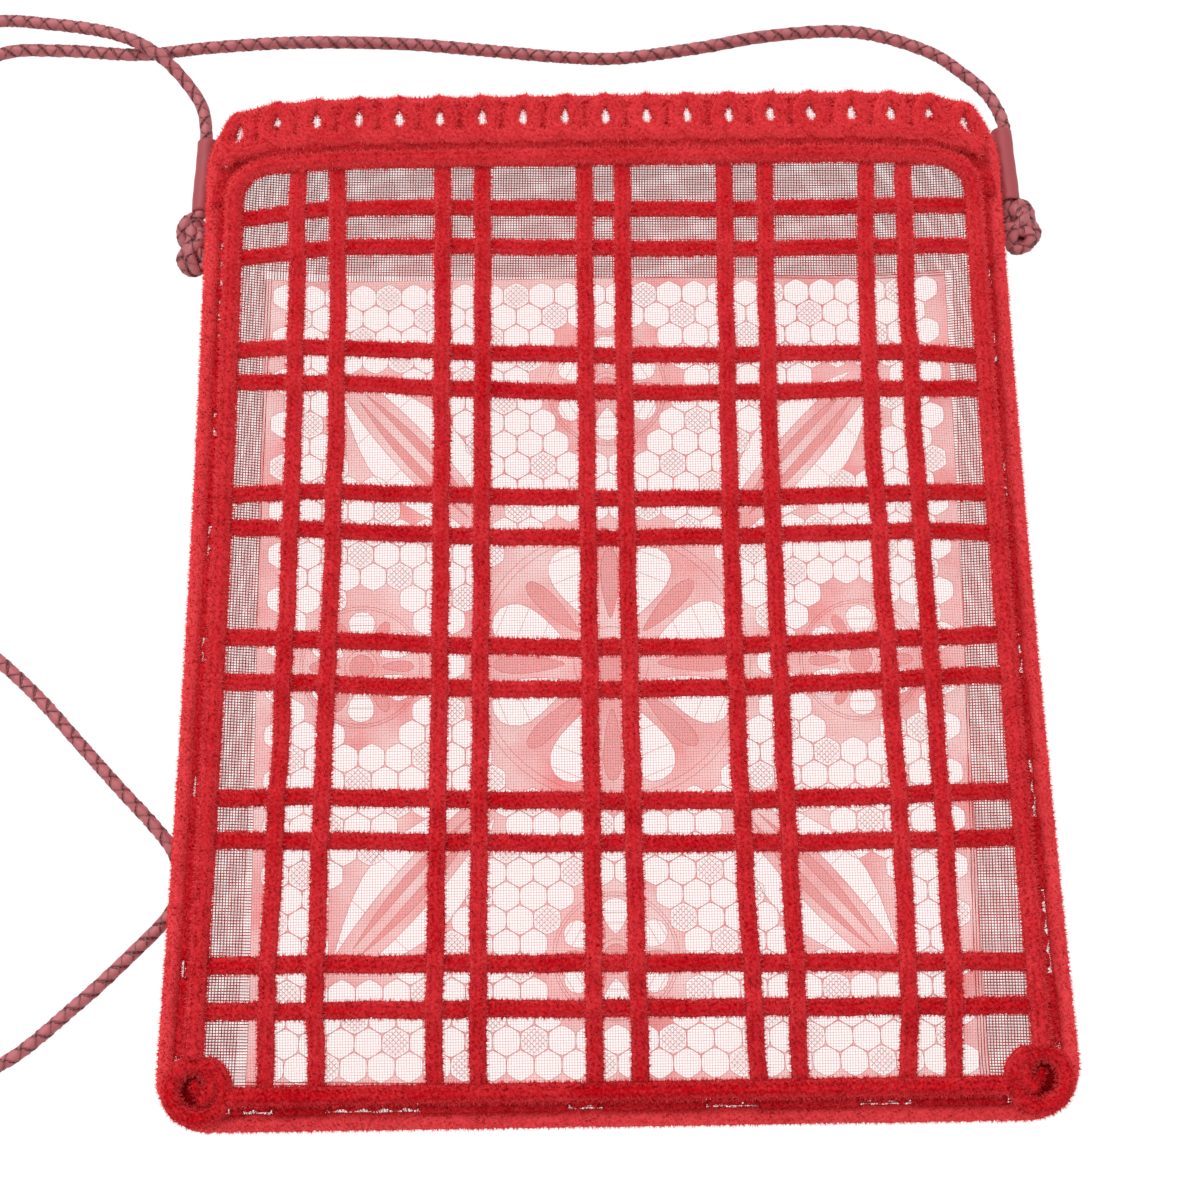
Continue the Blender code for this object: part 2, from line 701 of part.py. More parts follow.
def leaf_gaps(side_x, side_y):
    """Two slim gaps that leave a leaf, lying along the diagonal of one quarter."""
    centre_x = side_x * LEAF_OUT_X
    centre_y = LACE_MIDDLE_Y + side_y * LEAF_OUT_Y
    lean = math.atan2(side_y * LEAF_OUT_Y, side_x * LEAF_OUT_X)
    gaps = []
    for flank in (-1, 1):
        outline = []
        for share, far in ((-0.5, 0.5), (-0.2, 1.25), (0.2, 1.25), (0.5, 0.5), (0.2, 0.85), (-0.2, 0.85)):
            along_leaf = share * LEAF_LENGTH
            out = flank * far * LEAF_WIDTH / 2.0
            x = centre_x + along_leaf * math.cos(lean) - out * math.sin(lean)
            y = centre_y + along_leaf * math.sin(lean) + out * math.cos(lean)
            outline.append((x, y))
        gaps.append(outline)
    return gaps


def lace_gaps():
    """Outlines of the gaps in the lace: flowers and leaves in a trellis of square gaps."""
    flowers = [(0.0, LACE_MIDDLE_Y, MEDALLION_RADIUS, MEDALLION_PETALS)]
    for side in (-1, 1):
        flowers.append((side * FLOWER_OUT_X, LACE_MIDDLE_Y, FLOWER_RADIUS, FLOWER_PETALS))
        flowers.append((0.0, LACE_MIDDLE_Y + side * FLOWER_OUT_Y, FLOWER_RADIUS, FLOWER_PETALS))
    gaps = []
    for flower in flowers:
        gaps += flower_gaps(*flower)
    for side_x in (-1, 1):
        for side_y in (-1, 1):
            gaps += leaf_gaps(side_x, side_y)
    half = (TRELLIS_PITCH - TRELLIS_BAR) / 2.0
    out_x = int((LACE_HALF_WIDTH - TRELLIS_PITCH / 2.0) / TRELLIS_PITCH)
    out_y = int((LACE_MOUTH_Y - LACE_MIDDLE_Y - TRELLIS_PITCH / 2.0) / TRELLIS_PITCH)
    for i in range(-out_y, out_y + 1):
        for j in range(-out_x, out_x + 1):
            x = j * TRELLIS_PITCH
            y = LACE_MIDDLE_Y + i * TRELLIS_PITCH
            if (i + j) % 2 or near_motif(x, y, flowers):
                continue
            gaps.append([(x - half, y), (x, y - half), (x + half, y), (x, y + half)])
    return gaps


def near_motif(x, y, flowers):
    """True where a trellis gap would run into a flower or a leaf."""
    for centre_x, centre_y, radius, _ in flowers:
        if math.hypot(x - centre_x, y - centre_y) < radius + TRELLIS_PITCH * 0.5:
            return True
    far_x = abs(x) - LEAF_OUT_X
    far_y = abs(y - LACE_MIDDLE_Y) - LEAF_OUT_Y
    lean = math.atan2(LEAF_OUT_Y, LEAF_OUT_X)
    lengthwise = far_x * math.cos(lean) + far_y * math.sin(lean)
    crosswise = far_y * math.cos(lean) - far_x * math.sin(lean)
    long_enough = abs(lengthwise) < (LEAF_LENGTH + TRELLIS_PITCH) / 2.0
    return long_enough and abs(crosswise) < LEAF_WIDTH * 0.625 + TRELLIS_PITCH * 0.4


def lace_panel(mat):
    """The cutwork lace in the back: one thin plate with its gaps cut through."""
    ys = spaced(LACE_FOOT_Y, LACE_MOUTH_Y, 8)
    across = 12
    xs = [LACE_HALF_WIDTH * (2.0 * j / across - 1.0) for j in range(across + 1)]
    plate = grid_sheet("lace_panel", ys, [xs] * len(ys), back_z, NO_HOLE, mat)
    verts, faces = [], []
    for outline in lace_gaps():
        first = len(verts)
        count = len(outline)
        for z in (-SEAM_Z, SEAM_Z * 2.0):
            verts += [Vector((x, y, z)) for x, y in outline]
        faces.append(tuple(range(first, first + count)))
        faces.append(tuple(range(first + count, first + 2 * count)))
        for j in range(count):
            a = first + j
            b = first + (j + 1) % count
            faces.append((a, b, b + count, a + count))
    cutter = add_object("lace_gap_cutter", verts, faces, mat)
    cutter.hide_render = True
    cutter.display_type = "WIRE"
    cut = plate.modifiers.new("gaps", "BOOLEAN")
    cut.operation = "DIFFERENCE"
    cut.solver = "EXACT"
    cut.object = cutter
    return plate


def sleeves_and_knots(leather, braid):
    """A leather tube at each side of the mouth, and the strap's knot below it."""
    sides = 10
    sleeve_z = SLEEVE / 2.0 + CLEARANCE * 2.0
    top = SLEEVE_TOP_Y
    low = SLEEVE_TOP_Y - SLEEVE_LENGTH
    for side, tag in ((1, "right"), (-1, "left")):
        x = STRAP_ROUTE[-1 if side > 0 else 0][0]
        outer, inner = [], []
        for y in (low, top):
            for ring, radius in ((outer, SLEEVE / 2.0), (inner, SLEEVE / 2.0 - SLEEVE_WALL)):
                ring.append(
                    [
                        Vector(
                            (
                                x + radius * math.cos(2.0 * math.pi * j / sides),
                                y,
                                sleeve_z + radius * math.sin(2.0 * math.pi * j / sides),
                            )
                        )
                        for j in range(sides)
                    ]
                )
        verts = outer[0] + outer[1] + inner[1] + inner[0]
        faces = []
        for ring in range(4):
            for j in range(sides):
                a = ring * sides + j
                b = ring * sides + (j + 1) % sides
                c = ((ring + 1) % 4) * sides + (j + 1) % sides
                d = ((ring + 1) % 4) * sides + j
                faces.append((a, b, c, d))
        sleeve = add_object(f"sleeve_{tag}", verts, faces, leather)
        sleeve.data.shade_smooth()
        sleeve.data.set_sharp_from_angle(angle=math.radians(50))
        knot(side, tag, low, sleeve_z, braid)


def knot(side, tag, sleeve_low, sleeve_z, mat):
    """The outer shape of the strap's end knot: neck, two bulges and a short tail."""
    start_x = abs(STRAP_ROUTE[-1 if side > 0 else 0][0])
    profile = (
        (0.00, 0.0, STRAP * 0.50),
        (0.10, 0.3, STRAP * 0.62),
        (0.20, 0.8, KNOT_WIDTH * 0.40),
        (0.34, 1.0, KNOT_WIDTH * 0.50),
        (0.47, 1.0, KNOT_WIDTH * 0.44),
        (0.62, 1.0, KNOT_WIDTH * 0.50),
        (0.76, 0.9, KNOT_WIDTH * 0.38),
        (0.82, 0.8, STRAP * 0.50),
        (1.00, 0.7, STRAP * 0.46),
    )
    shift = KNOT_WIDTH / 2.0 - STRAP / 4.0
    sides = 8
    rings = []
    for share, out, radius in profile:
        y = sleeve_low - CLEARANCE - share * KNOT_LENGTH
        x = start_x + out * shift
        flat = min(1.0, KNOT_DEPTH / (2.0 * radius))
        z = max(sleeve_z, radius * flat + CLEARANCE)
        rings.append(
            [
                Vector(
                    (
                        side * (x + radius * math.cos(2.0 * math.pi * j / sides)),
                        y,
                        z + radius * flat * math.sin(2.0 * math.pi * j / sides),
                    )
                )
                for j in range(sides)
            ]
        )
    loft(f"knot_{tag}", rings, mat)


def strap(mat):
    """The braided cord, from the left knot round to the right knot."""
    curve = bpy.data.curves.new("strap", "CURVE")
    curve.dimensions = "3D"
    curve.bevel_depth = STRAP / 2.0
    curve.bevel_resolution = 2
    curve.use_fill_caps = True
    spline = curve.splines.new("POLY")
    points = smooth_points(STRAP_ROUTE, STRAP_POINTS, 3)
    spline.points.add(len(points) - 1)
    for slot, point in zip(spline.points, points):
        slot.co = (*point, 1.0)
    curve.materials.append(mat)
    item = bpy.data.objects.new("strap", curve)
    bpy.context.scene.collection.objects.link(item)
    return item


def main():
    clear_scene()
    velour = material("velour", (0.55, 0.012, 0.025), 0.9)
    net = material("net", (0.10, 0.03, 0.03), 0.7)
    lace = material("lace", (0.80, 0.42, 0.42), 0.8)
    leather = material("leather", (0.42, 0.10, 0.12), 0.5)
    braid = material("braid", (0.33, 0.09, 0.10), 0.5)
    front_net(net)
    back_net(net)
    lace_panel(lace)
    seam_cord(velour)
    frame_cords(velour)
    corner_coils(velour)
    loop_trim(velour)
    mouth_cords(velour)
    rows(velour)
    columns(velour)
    sleeves_and_knots(leather, braid)
    strap(braid)


main()
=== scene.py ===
"""Looks of the net pouch: fine net, velour cord lattice, cutwork lace, leather sleeves and a braided strap.

Lengths are in metres. X runs across the pouch, +Y towards its mouth, +Z up out of the lattice front.
"""
import math

import bpy
import numpy as np
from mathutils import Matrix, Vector
from mathutils.geometry import delaunay_2d_cdt


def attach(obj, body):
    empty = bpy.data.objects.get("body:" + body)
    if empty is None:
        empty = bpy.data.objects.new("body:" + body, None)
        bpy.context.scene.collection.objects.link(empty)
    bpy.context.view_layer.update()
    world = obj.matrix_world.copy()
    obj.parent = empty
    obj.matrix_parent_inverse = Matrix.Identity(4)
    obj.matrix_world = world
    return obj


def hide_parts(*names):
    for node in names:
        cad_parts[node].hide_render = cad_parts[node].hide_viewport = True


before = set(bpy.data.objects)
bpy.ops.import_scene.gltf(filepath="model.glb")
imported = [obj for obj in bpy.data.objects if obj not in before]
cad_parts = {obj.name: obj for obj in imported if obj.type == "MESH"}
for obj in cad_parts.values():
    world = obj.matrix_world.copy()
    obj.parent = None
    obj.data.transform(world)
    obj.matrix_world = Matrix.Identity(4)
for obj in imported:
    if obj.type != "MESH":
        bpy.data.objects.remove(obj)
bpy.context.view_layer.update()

MM = 0.001

# Outline and section of the pouch, as in the part
HALF_WIDTH_MOUTH = 0.1034
HALF_WIDTH_MIDDLE = 0.1052
HALF_WIDTH_FOOT = 0.1099
HEIGHT = 0.2655
FOOT_CORNER = 0.011
MOUTH_CORNER = 0.024
MOUTH_CORNER_SPAN = 0.014
SEAM_Z = 0.0077
FRONT_RISE = 0.0092
FRONT_SLOPE_LENGTH = 0.045
BACK_SLOPE_LENGTH = 0.034
MOUTH_RISE = 0.0062
MOUTH_BLEND = 0.075
NET = 0.0006
CLEARANCE = 0.0003
FACET_ROOM = 0.0002
SEAM_CORD = 0.0044
FRAME_CORD = 0.0046
BASE_CORD = 0.0037
LOOP_CORD = 0.0037
BACK_HEM_CORD = 0.0038
ROW_WIDTH = 0.0043
ROW_HEIGHT = 0.0023
COLUMN_WIDTH = 0.0043
FRAME_INSET_MOUTH = 0.0062
FRAME_INSET_FOOT = 0.0077
FOOT_CORD_INSET = 0.0063
FRAME_CORNER = 0.009
COLUMN_PAIRS = 5
COLUMN_MARGIN_MOUTH = 0.0234
COLUMN_MARGIN_FOOT = 0.0254
COLUMN_GAP_MOUTH = 0.0099
COLUMN_GAP_FOOT = 0.0116
ROW_PAIRS = 6
ROW_MARGIN_MOUTH = 0.0197
ROW_MARGIN_FOOT = 0.0247
ROW_GAP = 0.0100
ROW_STRAY_HALF = 0.092
COLUMN_STRAY_HALF = 0.115

# How far each hand-laid bar strays from its straight line, in mm: rows towards the mouth at the left
# end, left quarter, middle, right quarter and right end; columns to the right, from foot to mouth
ROW_STRAYS = [
    (0.9, 1.3, 0.3, -0.3, 1.6),
    (-0.3, 0.2, -0.9, -1.7, 0.1),
    (2.9, -0.1, -1.8, -2.2, -1.4),
    (3.8, 0.2, -1.8, -2.2, -0.6),
    (2.7, 0.7, -1.0, -1.3, 0.4),
    (4.0, 0.2, -1.2, -1.0, 0.1),
    (4.2, 1.0, -0.5, -0.2, 2.1),
    (3.0, 0.2, -1.0, -0.5, 2.0),
    (2.8, 1.4, 0.2, 0.1, 1.7),
    (2.3, 0.9, -0.1, -0.5, 0.2),
    (1.0, 0.6, 0.1, -0.4, -0.8),
    (0.1, -0.1, -0.4, -0.8, -1.1),
]
COLUMN_STRAYS = [
    (-1.7, -0.7, 0.1, -0.1, -1.7),
    (-1.2, -0.7, 0.3, 0.5, -1.2),
    (0.2, 0.7, 0.7, 0.4, -0.3),
    (-0.8, -0.3, 0.1, 0.4, 0.1),
    (0.1, 0.1, -0.1, -0.2, -0.1),
    (-0.6, -1.0, -1.0, -0.8, -0.1),
    (0.5, -1.5, -2.0, -1.5, -0.3),
    (-1.0, -1.7, -2.0, -1.4, 0.6),
    (-1.6, -1.3, -2.3, -2.5, 0.2),
    (-2.1, -1.7, -2.2, -2.1, 0.1),
]
LOOP_COUNT = 19
LOOP_PITCH = 0.01070
LOOP_RISE = 0.0088
COIL_RADIUS = 0.0075
COIL_CORD = 0.0040
COIL_INSET_X = 0.0088
COIL_INSET_Y = 0.0078
LACE_HALF_WIDTH = 0.0905
LACE_FOOT_INSET = 0.0078
LACE_MOUTH_INSET = 0.0460
MEDALLION_PETALS = 8
MEDALLION_RADIUS = 0.034
FLOWER_PETALS = 6
FLOWER_RADIUS = 0.015
FLOWER_OUT_X = 0.064
FLOWER_OUT_Y = 0.074
LEAF_LENGTH = 0.052
LEAF_WIDTH = 0.016
LEAF_OUT_X = 0.050
LEAF_OUT_Y = 0.056
SLEEVE = 0.0056
SLEEVE_LENGTH = 0.0205
SLEEVE_BELOW_MOUTH = 0.0066

# Where the strap runs, left sleeve to right sleeve
STRAP_ROUTE = [
    (-0.1072, 0.1060, 0.0034),
    (-0.1072, 0.1150, 0.0034),
    (-0.1072, 0.1230, 0.0034),
    (-0.1072, 0.1290, 0.0034),
    (-0.1086, 0.1365, 0.0029),
    (-0.1125, 0.1430, 0.0032),
    (-0.1180, 0.1490, 0.0049),
    (-0.1245, 0.1538, 0.0056),
    (-0.1320, 0.1574, 0.0050),
    (-0.1400, 0.1602, 0.0033),
    (-0.1510, 0.1625, 0.0019),
    (-0.1660, 0.1636, 0.0019),
    (-0.1860, 0.1600, 0.0019),
    (-0.2120, 0.1450, 0.0019),
    (-0.2380, 0.1150, 0.0019),
    (-0.2540, 0.0720, 0.0019),
    (-0.2610, 0.0220, 0.0019),
    (-0.2580, -0.0280, 0.0019),
    (-0.2440, -0.0720, 0.0019),
    (-0.2220, -0.1030, 0.0019),
    (-0.1950, -0.1190, 0.0019),
    (-0.1700, -0.1205, 0.0019),
    (-0.1510, -0.1160, 0.0019),
    (-0.1330, -0.1020, 0.0019),
    (-0.1200, -0.0900, 0.0019),
    (-0.1110, -0.0805, 0.0019),
    (-0.1078, -0.0725, 0.0019),
    (-0.1105, -0.0645, 0.0019),
    (-0.1160, -0.0575, 0.0019),
    (-0.1245, -0.0485, 0.0019),
    (-0.1350, -0.0370, 0.0019),
    (-0.1460, -0.0250, 0.0019),
    (-0.1580, -0.0140, 0.0019),
    (-0.1760, 0.0010, 0.0019),
    (-0.1980, 0.0220, 0.0019),
    (-0.2130, 0.0520, 0.0019),
    (-0.2130, 0.0860, 0.0019),
    (-0.2020, 0.1180, 0.0019),
    (-0.1840, 0.1420, 0.0019),
    (-0.1650, 0.1535, 0.0019),
    (-0.1480, 0.1545, 0.0019),
    (-0.1260, 0.1530, 0.0019),
    (-0.1070, 0.1548, 0.0019),
    (-0.0830, 0.1560, 0.0019),
    (-0.0550, 0.1552, 0.0019),
    (-0.0330, 0.1530, 0.0019),
    (-0.0110, 0.1506, 0.0019),
    (0.0050, 0.1500, 0.0019),
    (0.0270, 0.1528, 0.0019),
    (0.0440, 0.1558, 0.0019),
    (0.0630, 0.1572, 0.0019),
    (0.0760, 0.1556, 0.0019),
    (0.0900, 0.1504, 0.0019),
    (0.0982, 0.1442, 0.0021),
    (0.1048, 0.1372, 0.0028),
    (0.1083, 0.1290, 0.0034),
    (0.1083, 0.1230, 0.0034),
    (0.1083, 0.1150, 0.0034),
    (0.1083, 0.1060, 0.0034),
]

# Places that several pieces share
SEAM_FOOT_Y = -HEIGHT / 2 + SEAM_CORD / 2
MOUTH_Y = HEIGHT / 2
MOUTH_CORNER_Y = MOUTH_Y - MOUTH_CORNER_SPAN - SEAM_CORD - CLEARANCE
NET_INSET = SEAM_CORD / 2 + CLEARANCE
LOOP_TOP_Y = MOUTH_Y - LOOP_CORD / 2
BASE_CORD_Y = LOOP_TOP_Y - LOOP_RISE - LOOP_CORD / 2 - BASE_CORD / 2 - CLEARANCE
FRAME_TOP_Y = BASE_CORD_Y - BASE_CORD / 2 - FRAME_CORD / 2 - CLEARANCE
FRAME_FOOT_Y = SEAM_FOOT_Y + FOOT_CORD_INSET
NET_MOUTH_Y = LOOP_TOP_Y - LOOP_CORD / 4
BACK_HEM_Y = NET_MOUTH_Y - BACK_HEM_CORD / 2
SLEEVE_TOP_Y = MOUTH_Y - SLEEVE_BELOW_MOUTH
SLEEVE_LOW_Y = SLEEVE_TOP_Y - SLEEVE_LENGTH
COLUMN_LAST = COLUMN_PAIRS // 2
COLUMN_END_MOUTH = HALF_WIDTH_MOUTH - FRAME_INSET_MOUTH - COLUMN_MARGIN_MOUTH
COLUMN_END_FOOT = HALF_WIDTH_FOOT - FRAME_INSET_FOOT - COLUMN_MARGIN_FOOT
ROW_FIRST_Y = FRAME_TOP_Y - ROW_MARGIN_MOUTH
ROW_PITCH = (ROW_FIRST_Y - FRAME_FOOT_Y - ROW_MARGIN_FOOT) / (ROW_PAIRS - 1)
LACE_FOOT_Y = SEAM_FOOT_Y + LACE_FOOT_INSET
LACE_MOUTH_Y = MOUTH_Y - LACE_MOUTH_INSET
LACE_MIDDLE_Y = (LACE_FOOT_Y + LACE_MOUTH_Y) / 2


# Shape of the pouch


def ease(value):
    """From 0 to 1 with a soft start and end."""
    value = np.clip(value, 0.0, 1.0)
    return value * value * (3.0 - 2.0 * value)


def along(y):
    """How far up the pouch y lies, from 0 at the foot to 1 at the mouth."""
    return (y - SEAM_FOOT_Y) / (MOUTH_Y - SEAM_FOOT_Y)


def half_width(y):
    """Half the pouch's width at y: narrower at the mouth, and a little waisted."""
    t = 2.0 * along(y) - 1.0
    spread = (HALF_WIDTH_MOUTH - HALF_WIDTH_FOOT) / 2.0
    flare = (HALF_WIDTH_MOUTH + HALF_WIDTH_FOOT) / 2.0 - HALF_WIDTH_MIDDLE
    return HALF_WIDTH_MIDDLE + spread * t + flare * t * t


def half_span(y, inset):
    """Half the width inside the outline, with its rounded corners, less an inset."""
    span = half_width(y) - inset
    for radius, depth in (
        (FOOT_CORNER - inset, SEAM_FOOT_Y + FOOT_CORNER - y),
        (MOUTH_CORNER - inset, y - MOUTH_CORNER_Y),
    ):
        drop = radius - np.sqrt(np.maximum(0.0, radius * radius - depth * depth))
        span = span - np.where(depth > 0.0, drop, 0.0)
    return span


def swell(x, y, slope_length, power):
    """How far a panel has risen here, from 0 at the seam to 1 past the slope."""
    from_side = np.clip((half_width(y) - np.abs(x)) / slope_length, 0.0, 1.0)
    from_foot = np.clip((y - SEAM_FOOT_Y) / slope_length, 0.0, 1.0)
    return (1.0 - (1.0 - from_side) ** power) * (1.0 - (1.0 - from_foot) ** power)


def front_z(x, y):
    """Height of the front net's underside."""
    near_mouth = ease((y - MOUTH_Y + MOUTH_BLEND) / MOUTH_BLEND)
    rise = FRONT_RISE + (MOUTH_RISE - FRONT_RISE) * near_mouth
    return SEAM_Z + rise * swell(x, y, FRONT_SLOPE_LENGTH, 2.0)


def back_z(x, y):
    """Height of the back net's underside."""
    return SEAM_Z * (1.0 - swell(x, y, BACK_SLOPE_LENGTH, 2.2))


def on_front(x, y):
    """Height at which something rests on the front net."""
    return front_z(x, y) + NET + CLEARANCE + FACET_ROOM


def laid(x, y, radius):
    """Centre points of a cord of this radius that is laid on the front."""
    step = 0.5 * MM
    across = (front_z(x + step, y) - front_z(x - step, y)) / (2.0 * step)
    up = (front_z(x, y + step) - front_z(x, y - step)) / (2.0 * step)
    steep = np.sqrt(1.0 + across * across + up * up)
    lift = (NET + CLEARANCE + radius) * steep + FACET_ROOM
    return np.stack([x, y, front_z(x, y) + lift], axis=1)


def frame_x(y):
    """How far out the inner frame's side cord runs."""
    share = np.clip(along(y), 0.0, 1.0)
    return half_width(y) - FRAME_INSET_FOOT - (FRAME_INSET_MOUTH - FRAME_INSET_FOOT) * share


# Mesh helpers


def unit(v):
    """The same directions, one long."""
    return v / np.maximum(np.linalg.norm(v, axis=-1, keepdims=True), 1e-12)


def evenly(points, step):
    """The same line with even steps of about this length."""
    points = np.asarray(points, float)
    run = np.concatenate([[0.0], np.cumsum(np.linalg.norm(np.diff(points, axis=0), axis=1))])
    count = max(2, int(round(run[-1] / step)) + 1)
    want = np.linspace(0.0, run[-1], count)
    return np.stack([np.interp(want, run, points[:, k]) for k in range(3)], axis=1)


def smooth_line(route, per_span):
    """A smooth curve through the route's points."""
    pts = np.asarray(route, float)
    pts = np.vstack([2 * pts[0] - pts[1], pts, 2 * pts[-1] - pts[-2]])
    fine = []
    for k in range(1, len(pts) - 2):
        p0, p1, p2, p3 = pts[k - 1 : k + 3]
        for t in np.arange(per_span) / per_span:
            bend = 2 * p0 - 5 * p1 + 4 * p2 - p3
            kick = 3 * p1 - p0 - 3 * p2 + p3
            fine.append(p1 + 0.5 * ((p2 - p0) * t + bend * t * t + kick * t * t * t))
    fine.append(pts[-2])
    return np.array(fine)


def carried(points, up=(0.0, 0.0, 1.0)):
    """Ahead, side and up directions along a line, carried without twist."""
    ahead = unit(np.gradient(points, axis=0))
    side = np.cross(ahead[0], up)
    sides = np.empty_like(ahead)
    for k, direction in enumerate(ahead):
        side = side - direction * side.dot(direction)
        side = side / max(np.linalg.norm(side), 1e-9)
        sides[k] = side
    return ahead, sides, np.cross(sides, ahead)


def upright(points):
    """As carried, but with the side kept level, for what is laid on the pouch."""
    ahead = unit(np.gradient(points, axis=0))
    sides = unit(np.cross(ahead, (0.0, 0.0, 1.0)))
    return ahead, sides, np.cross(sides, ahead)


def skin(rings):
    """Triangles of a closed body through rings of points, with its two ends filled."""
    count, around, _ = rings.shape
    verts = np.vstack([rings.reshape(-1, 3), rings[0].mean(0), rings[-1].mean(0)])
    k = np.arange(count - 1)[:, None] * around
    j = np.arange(around)[None, :]
    a = (k + j).ravel()
    b = (k + (j + 1) % around).ravel()
    tris = [np.stack([a, b, b + around], 1), np.stack([a, b + around, a + around], 1)]
    ring = np.arange(around)
    first = count * around
    last = (count - 1) * around
    ahead = (ring + 1) % around
    tris.append(np.stack([ahead, ring, np.full(around, first)], 1))
    tris.append(np.stack([ring + last, ahead + last, np.full(around, first + 1)], 1))
    return verts, np.vstack(tris)


def joined(parts):
    """Several (verts, tris, layer) as one."""
    verts, tris, layers, first = [], [], [], 0
    for v, t, layer in parts:
        verts.append(v)
        tris.append(t + first)
        layers.append(layer)
        first += len(v)
    return np.vstack(verts), np.vstack(tris), np.concatenate(layers)


def piece(name, verts, tris, finish, slot, layer=None, replaces=()):
    """A mesh object that rides with the pouch. layer is one number for each point, for its finish."""
    mesh = bpy.data.meshes.new(name)
    mesh.vertices.add(len(verts))
    mesh.vertices.foreach_set("co", np.asarray(verts, np.float32).ravel())
    mesh.loops.add(3 * len(tris))
    mesh.loops.foreach_set("vertex_index", np.asarray(tris, np.int32).ravel())
    mesh.polygons.add(len(tris))
    mesh.polygons.foreach_set("loop_start", np.arange(0, 3 * len(tris), 3, dtype=np.int32))
    mesh.polygons.foreach_set("use_smooth", np.ones(len(tris), bool))
    if layer is not None:
        store = mesh.attributes.new("layer", "FLOAT", "POINT")
        store.data.foreach_set("value", np.asarray(layer, np.float32))
    mesh.update(calc_edges=True)
    mesh.materials.append(finish)
    item = bpy.data.objects.new(name, mesh)
    bpy.context.scene.collection.objects.link(item)
    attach(item, "root")
    if replaces:
        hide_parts(*replaces)
    return item


# Finishes


class Wire:
    """One output of a finish's nodes, so that sums on it read as plain sums."""

    def __init__(self, finish, socket):
        self.finish = finish
        self.socket = socket

    def __add__(self, other):
        return self.finish.sum("ADD", self, other)

    __radd__ = __add__

    def __mul__(self, other):
        return self.finish.sum("MULTIPLY", self, other)

    __rmul__ = __mul__

    def __sub__(self, other):
        return self.finish.sum("SUBTRACT", self, other)

    def __rsub__(self, other):
        return self.finish.sum("SUBTRACT", other, self)

    def __pow__(self, other):
        return self.finish.sum("POWER", self, other)

    def held(self):
        """The same, kept between 0 and 1."""
        return self.finish.sum("ADD", self, 0.0, clamp=True)


class Finish:
    """A material with one Principled shader."""

    def __init__(self, name, **sockets):
        self.mat = bpy.data.materials.new(name)
        self.mat.use_nodes = True
        self.nodes = self.mat.node_tree.nodes
        self.links = self.mat.node_tree.links
        self.shader = self.nodes["Principled BSDF"]
        self.feed(self.shader, {k.replace("_", " "): v for k, v in sockets.items()})

    def feed(self, node, sockets):
        for key, value in sockets.items():
            if isinstance(value, Wire):
                self.links.new(value.socket, node.inputs[key])
            else:
                node.inputs[key].default_value = value

    def node(self, kind, settings, sockets, out):
        """Any node: its settings first, then its sockets, and the output that is used."""
        made = self.nodes.new(kind)
        for key, value in settings.items():
            if key == "stops":
                ramp = made.color_ramp
                for k, (place, colour) in enumerate(value):
                    stop = ramp.elements[k] if k < 2 else ramp.elements.new(place)
                    stop.position = place
                    stop.color = colour
            else:
                setattr(made, key, value)
        self.feed(made, sockets)
        return Wire(self, made.outputs[out])

    def sum(self, operation, a, b, clamp=False):
        return self.node(
            "ShaderNodeMath", {"operation": operation, "use_clamp": clamp}, {0: a, 1: b}, 0
        )

    def place(self):
        return self.node("ShaderNodeTexCoord", {}, {}, "Object")

    def layer(self):
        return self.node("ShaderNodeAttribute", {"attribute_name": "layer"}, {}, "Fac")

    def noise(self, scale, detail=2.0, rough=0.5, stretch=(1.0, 1.0, 1.0)):
        at = self.node(
            "ShaderNodeVectorMath", {"operation": "MULTIPLY"}, {0: self.place(), 1: stretch}, 0
        )
        sockets = {"Vector": at, "Scale": scale, "Detail": detail, "Roughness": rough}
        return self.node("ShaderNodeTexNoise", {}, sockets, "Fac")

    def blend(self, factor, low, high):
        """Between two colours."""
        return self.node(
            "ShaderNodeMix",
            {"data_type": "RGBA"},
            {0: factor, 6: (*low, 1.0) if isinstance(low, tuple) else low, 7: (*high, 1.0)},
            2,
        )

    def bump(self, height, distance, strength=1.0):
        normal = self.node(
            "ShaderNodeBump",
            {},
            {"Height": height, "Distance": distance, "Strength": strength},
            "Normal",
        )
        self.feed(self.shader, {"Normal": normal})


def velour_finish():
    """Red pile, with painted shade that keeps it deep at its roots and in its pits, and painted light that
    makes it bright at its tips and rims, with small tufts that catch the light.
    """
    f = Finish("velour", Roughness=0.95, Sheen_Weight=0.03, Sheen_Roughness=0.45)
    f.shader.inputs["Sheen Tint"].default_value = (1.0, 0.42, 0.44, 1.0)
    f.shader.inputs["Specular IOR Level"].default_value = 0.05
    tufts = f.noise(1300.0, 2.0, 0.6)
    patches = f.noise(70.0, 2.0)
    # The layer brings each cord's painted shade and painted light; the two noises add random tone
    depth = f.layer() * 1.15 + tufts * 0.8 + patches * 0.4 - 0.61
    pile = f.blend(depth.held(), (0.52, 0.001, 0.007), (1.0, 0.098, 0.112))
    # Painted shade: a very low layer, in pits and furrows, takes the colour down to a deep dark red
    f.feed(f.shader, {"Base Color": f.blend((depth * -1.3).held(), pile, (0.22, 0.001, 0.004))})
    f.bump(tufts, 0.35 * MM, 0.7)
    return f.mat


def thread_finish(name, low, high, see_through):
    """Fine net thread that lets some of the light behind it through."""
    f = Finish(name, Roughness=0.6, Transmission_Weight=see_through, IOR=1.02)
    worn = f.noise(120.0, 2.0)
    f.feed(f.shader, {"Base Color": f.blend(worn, low, high)})
    return f.mat


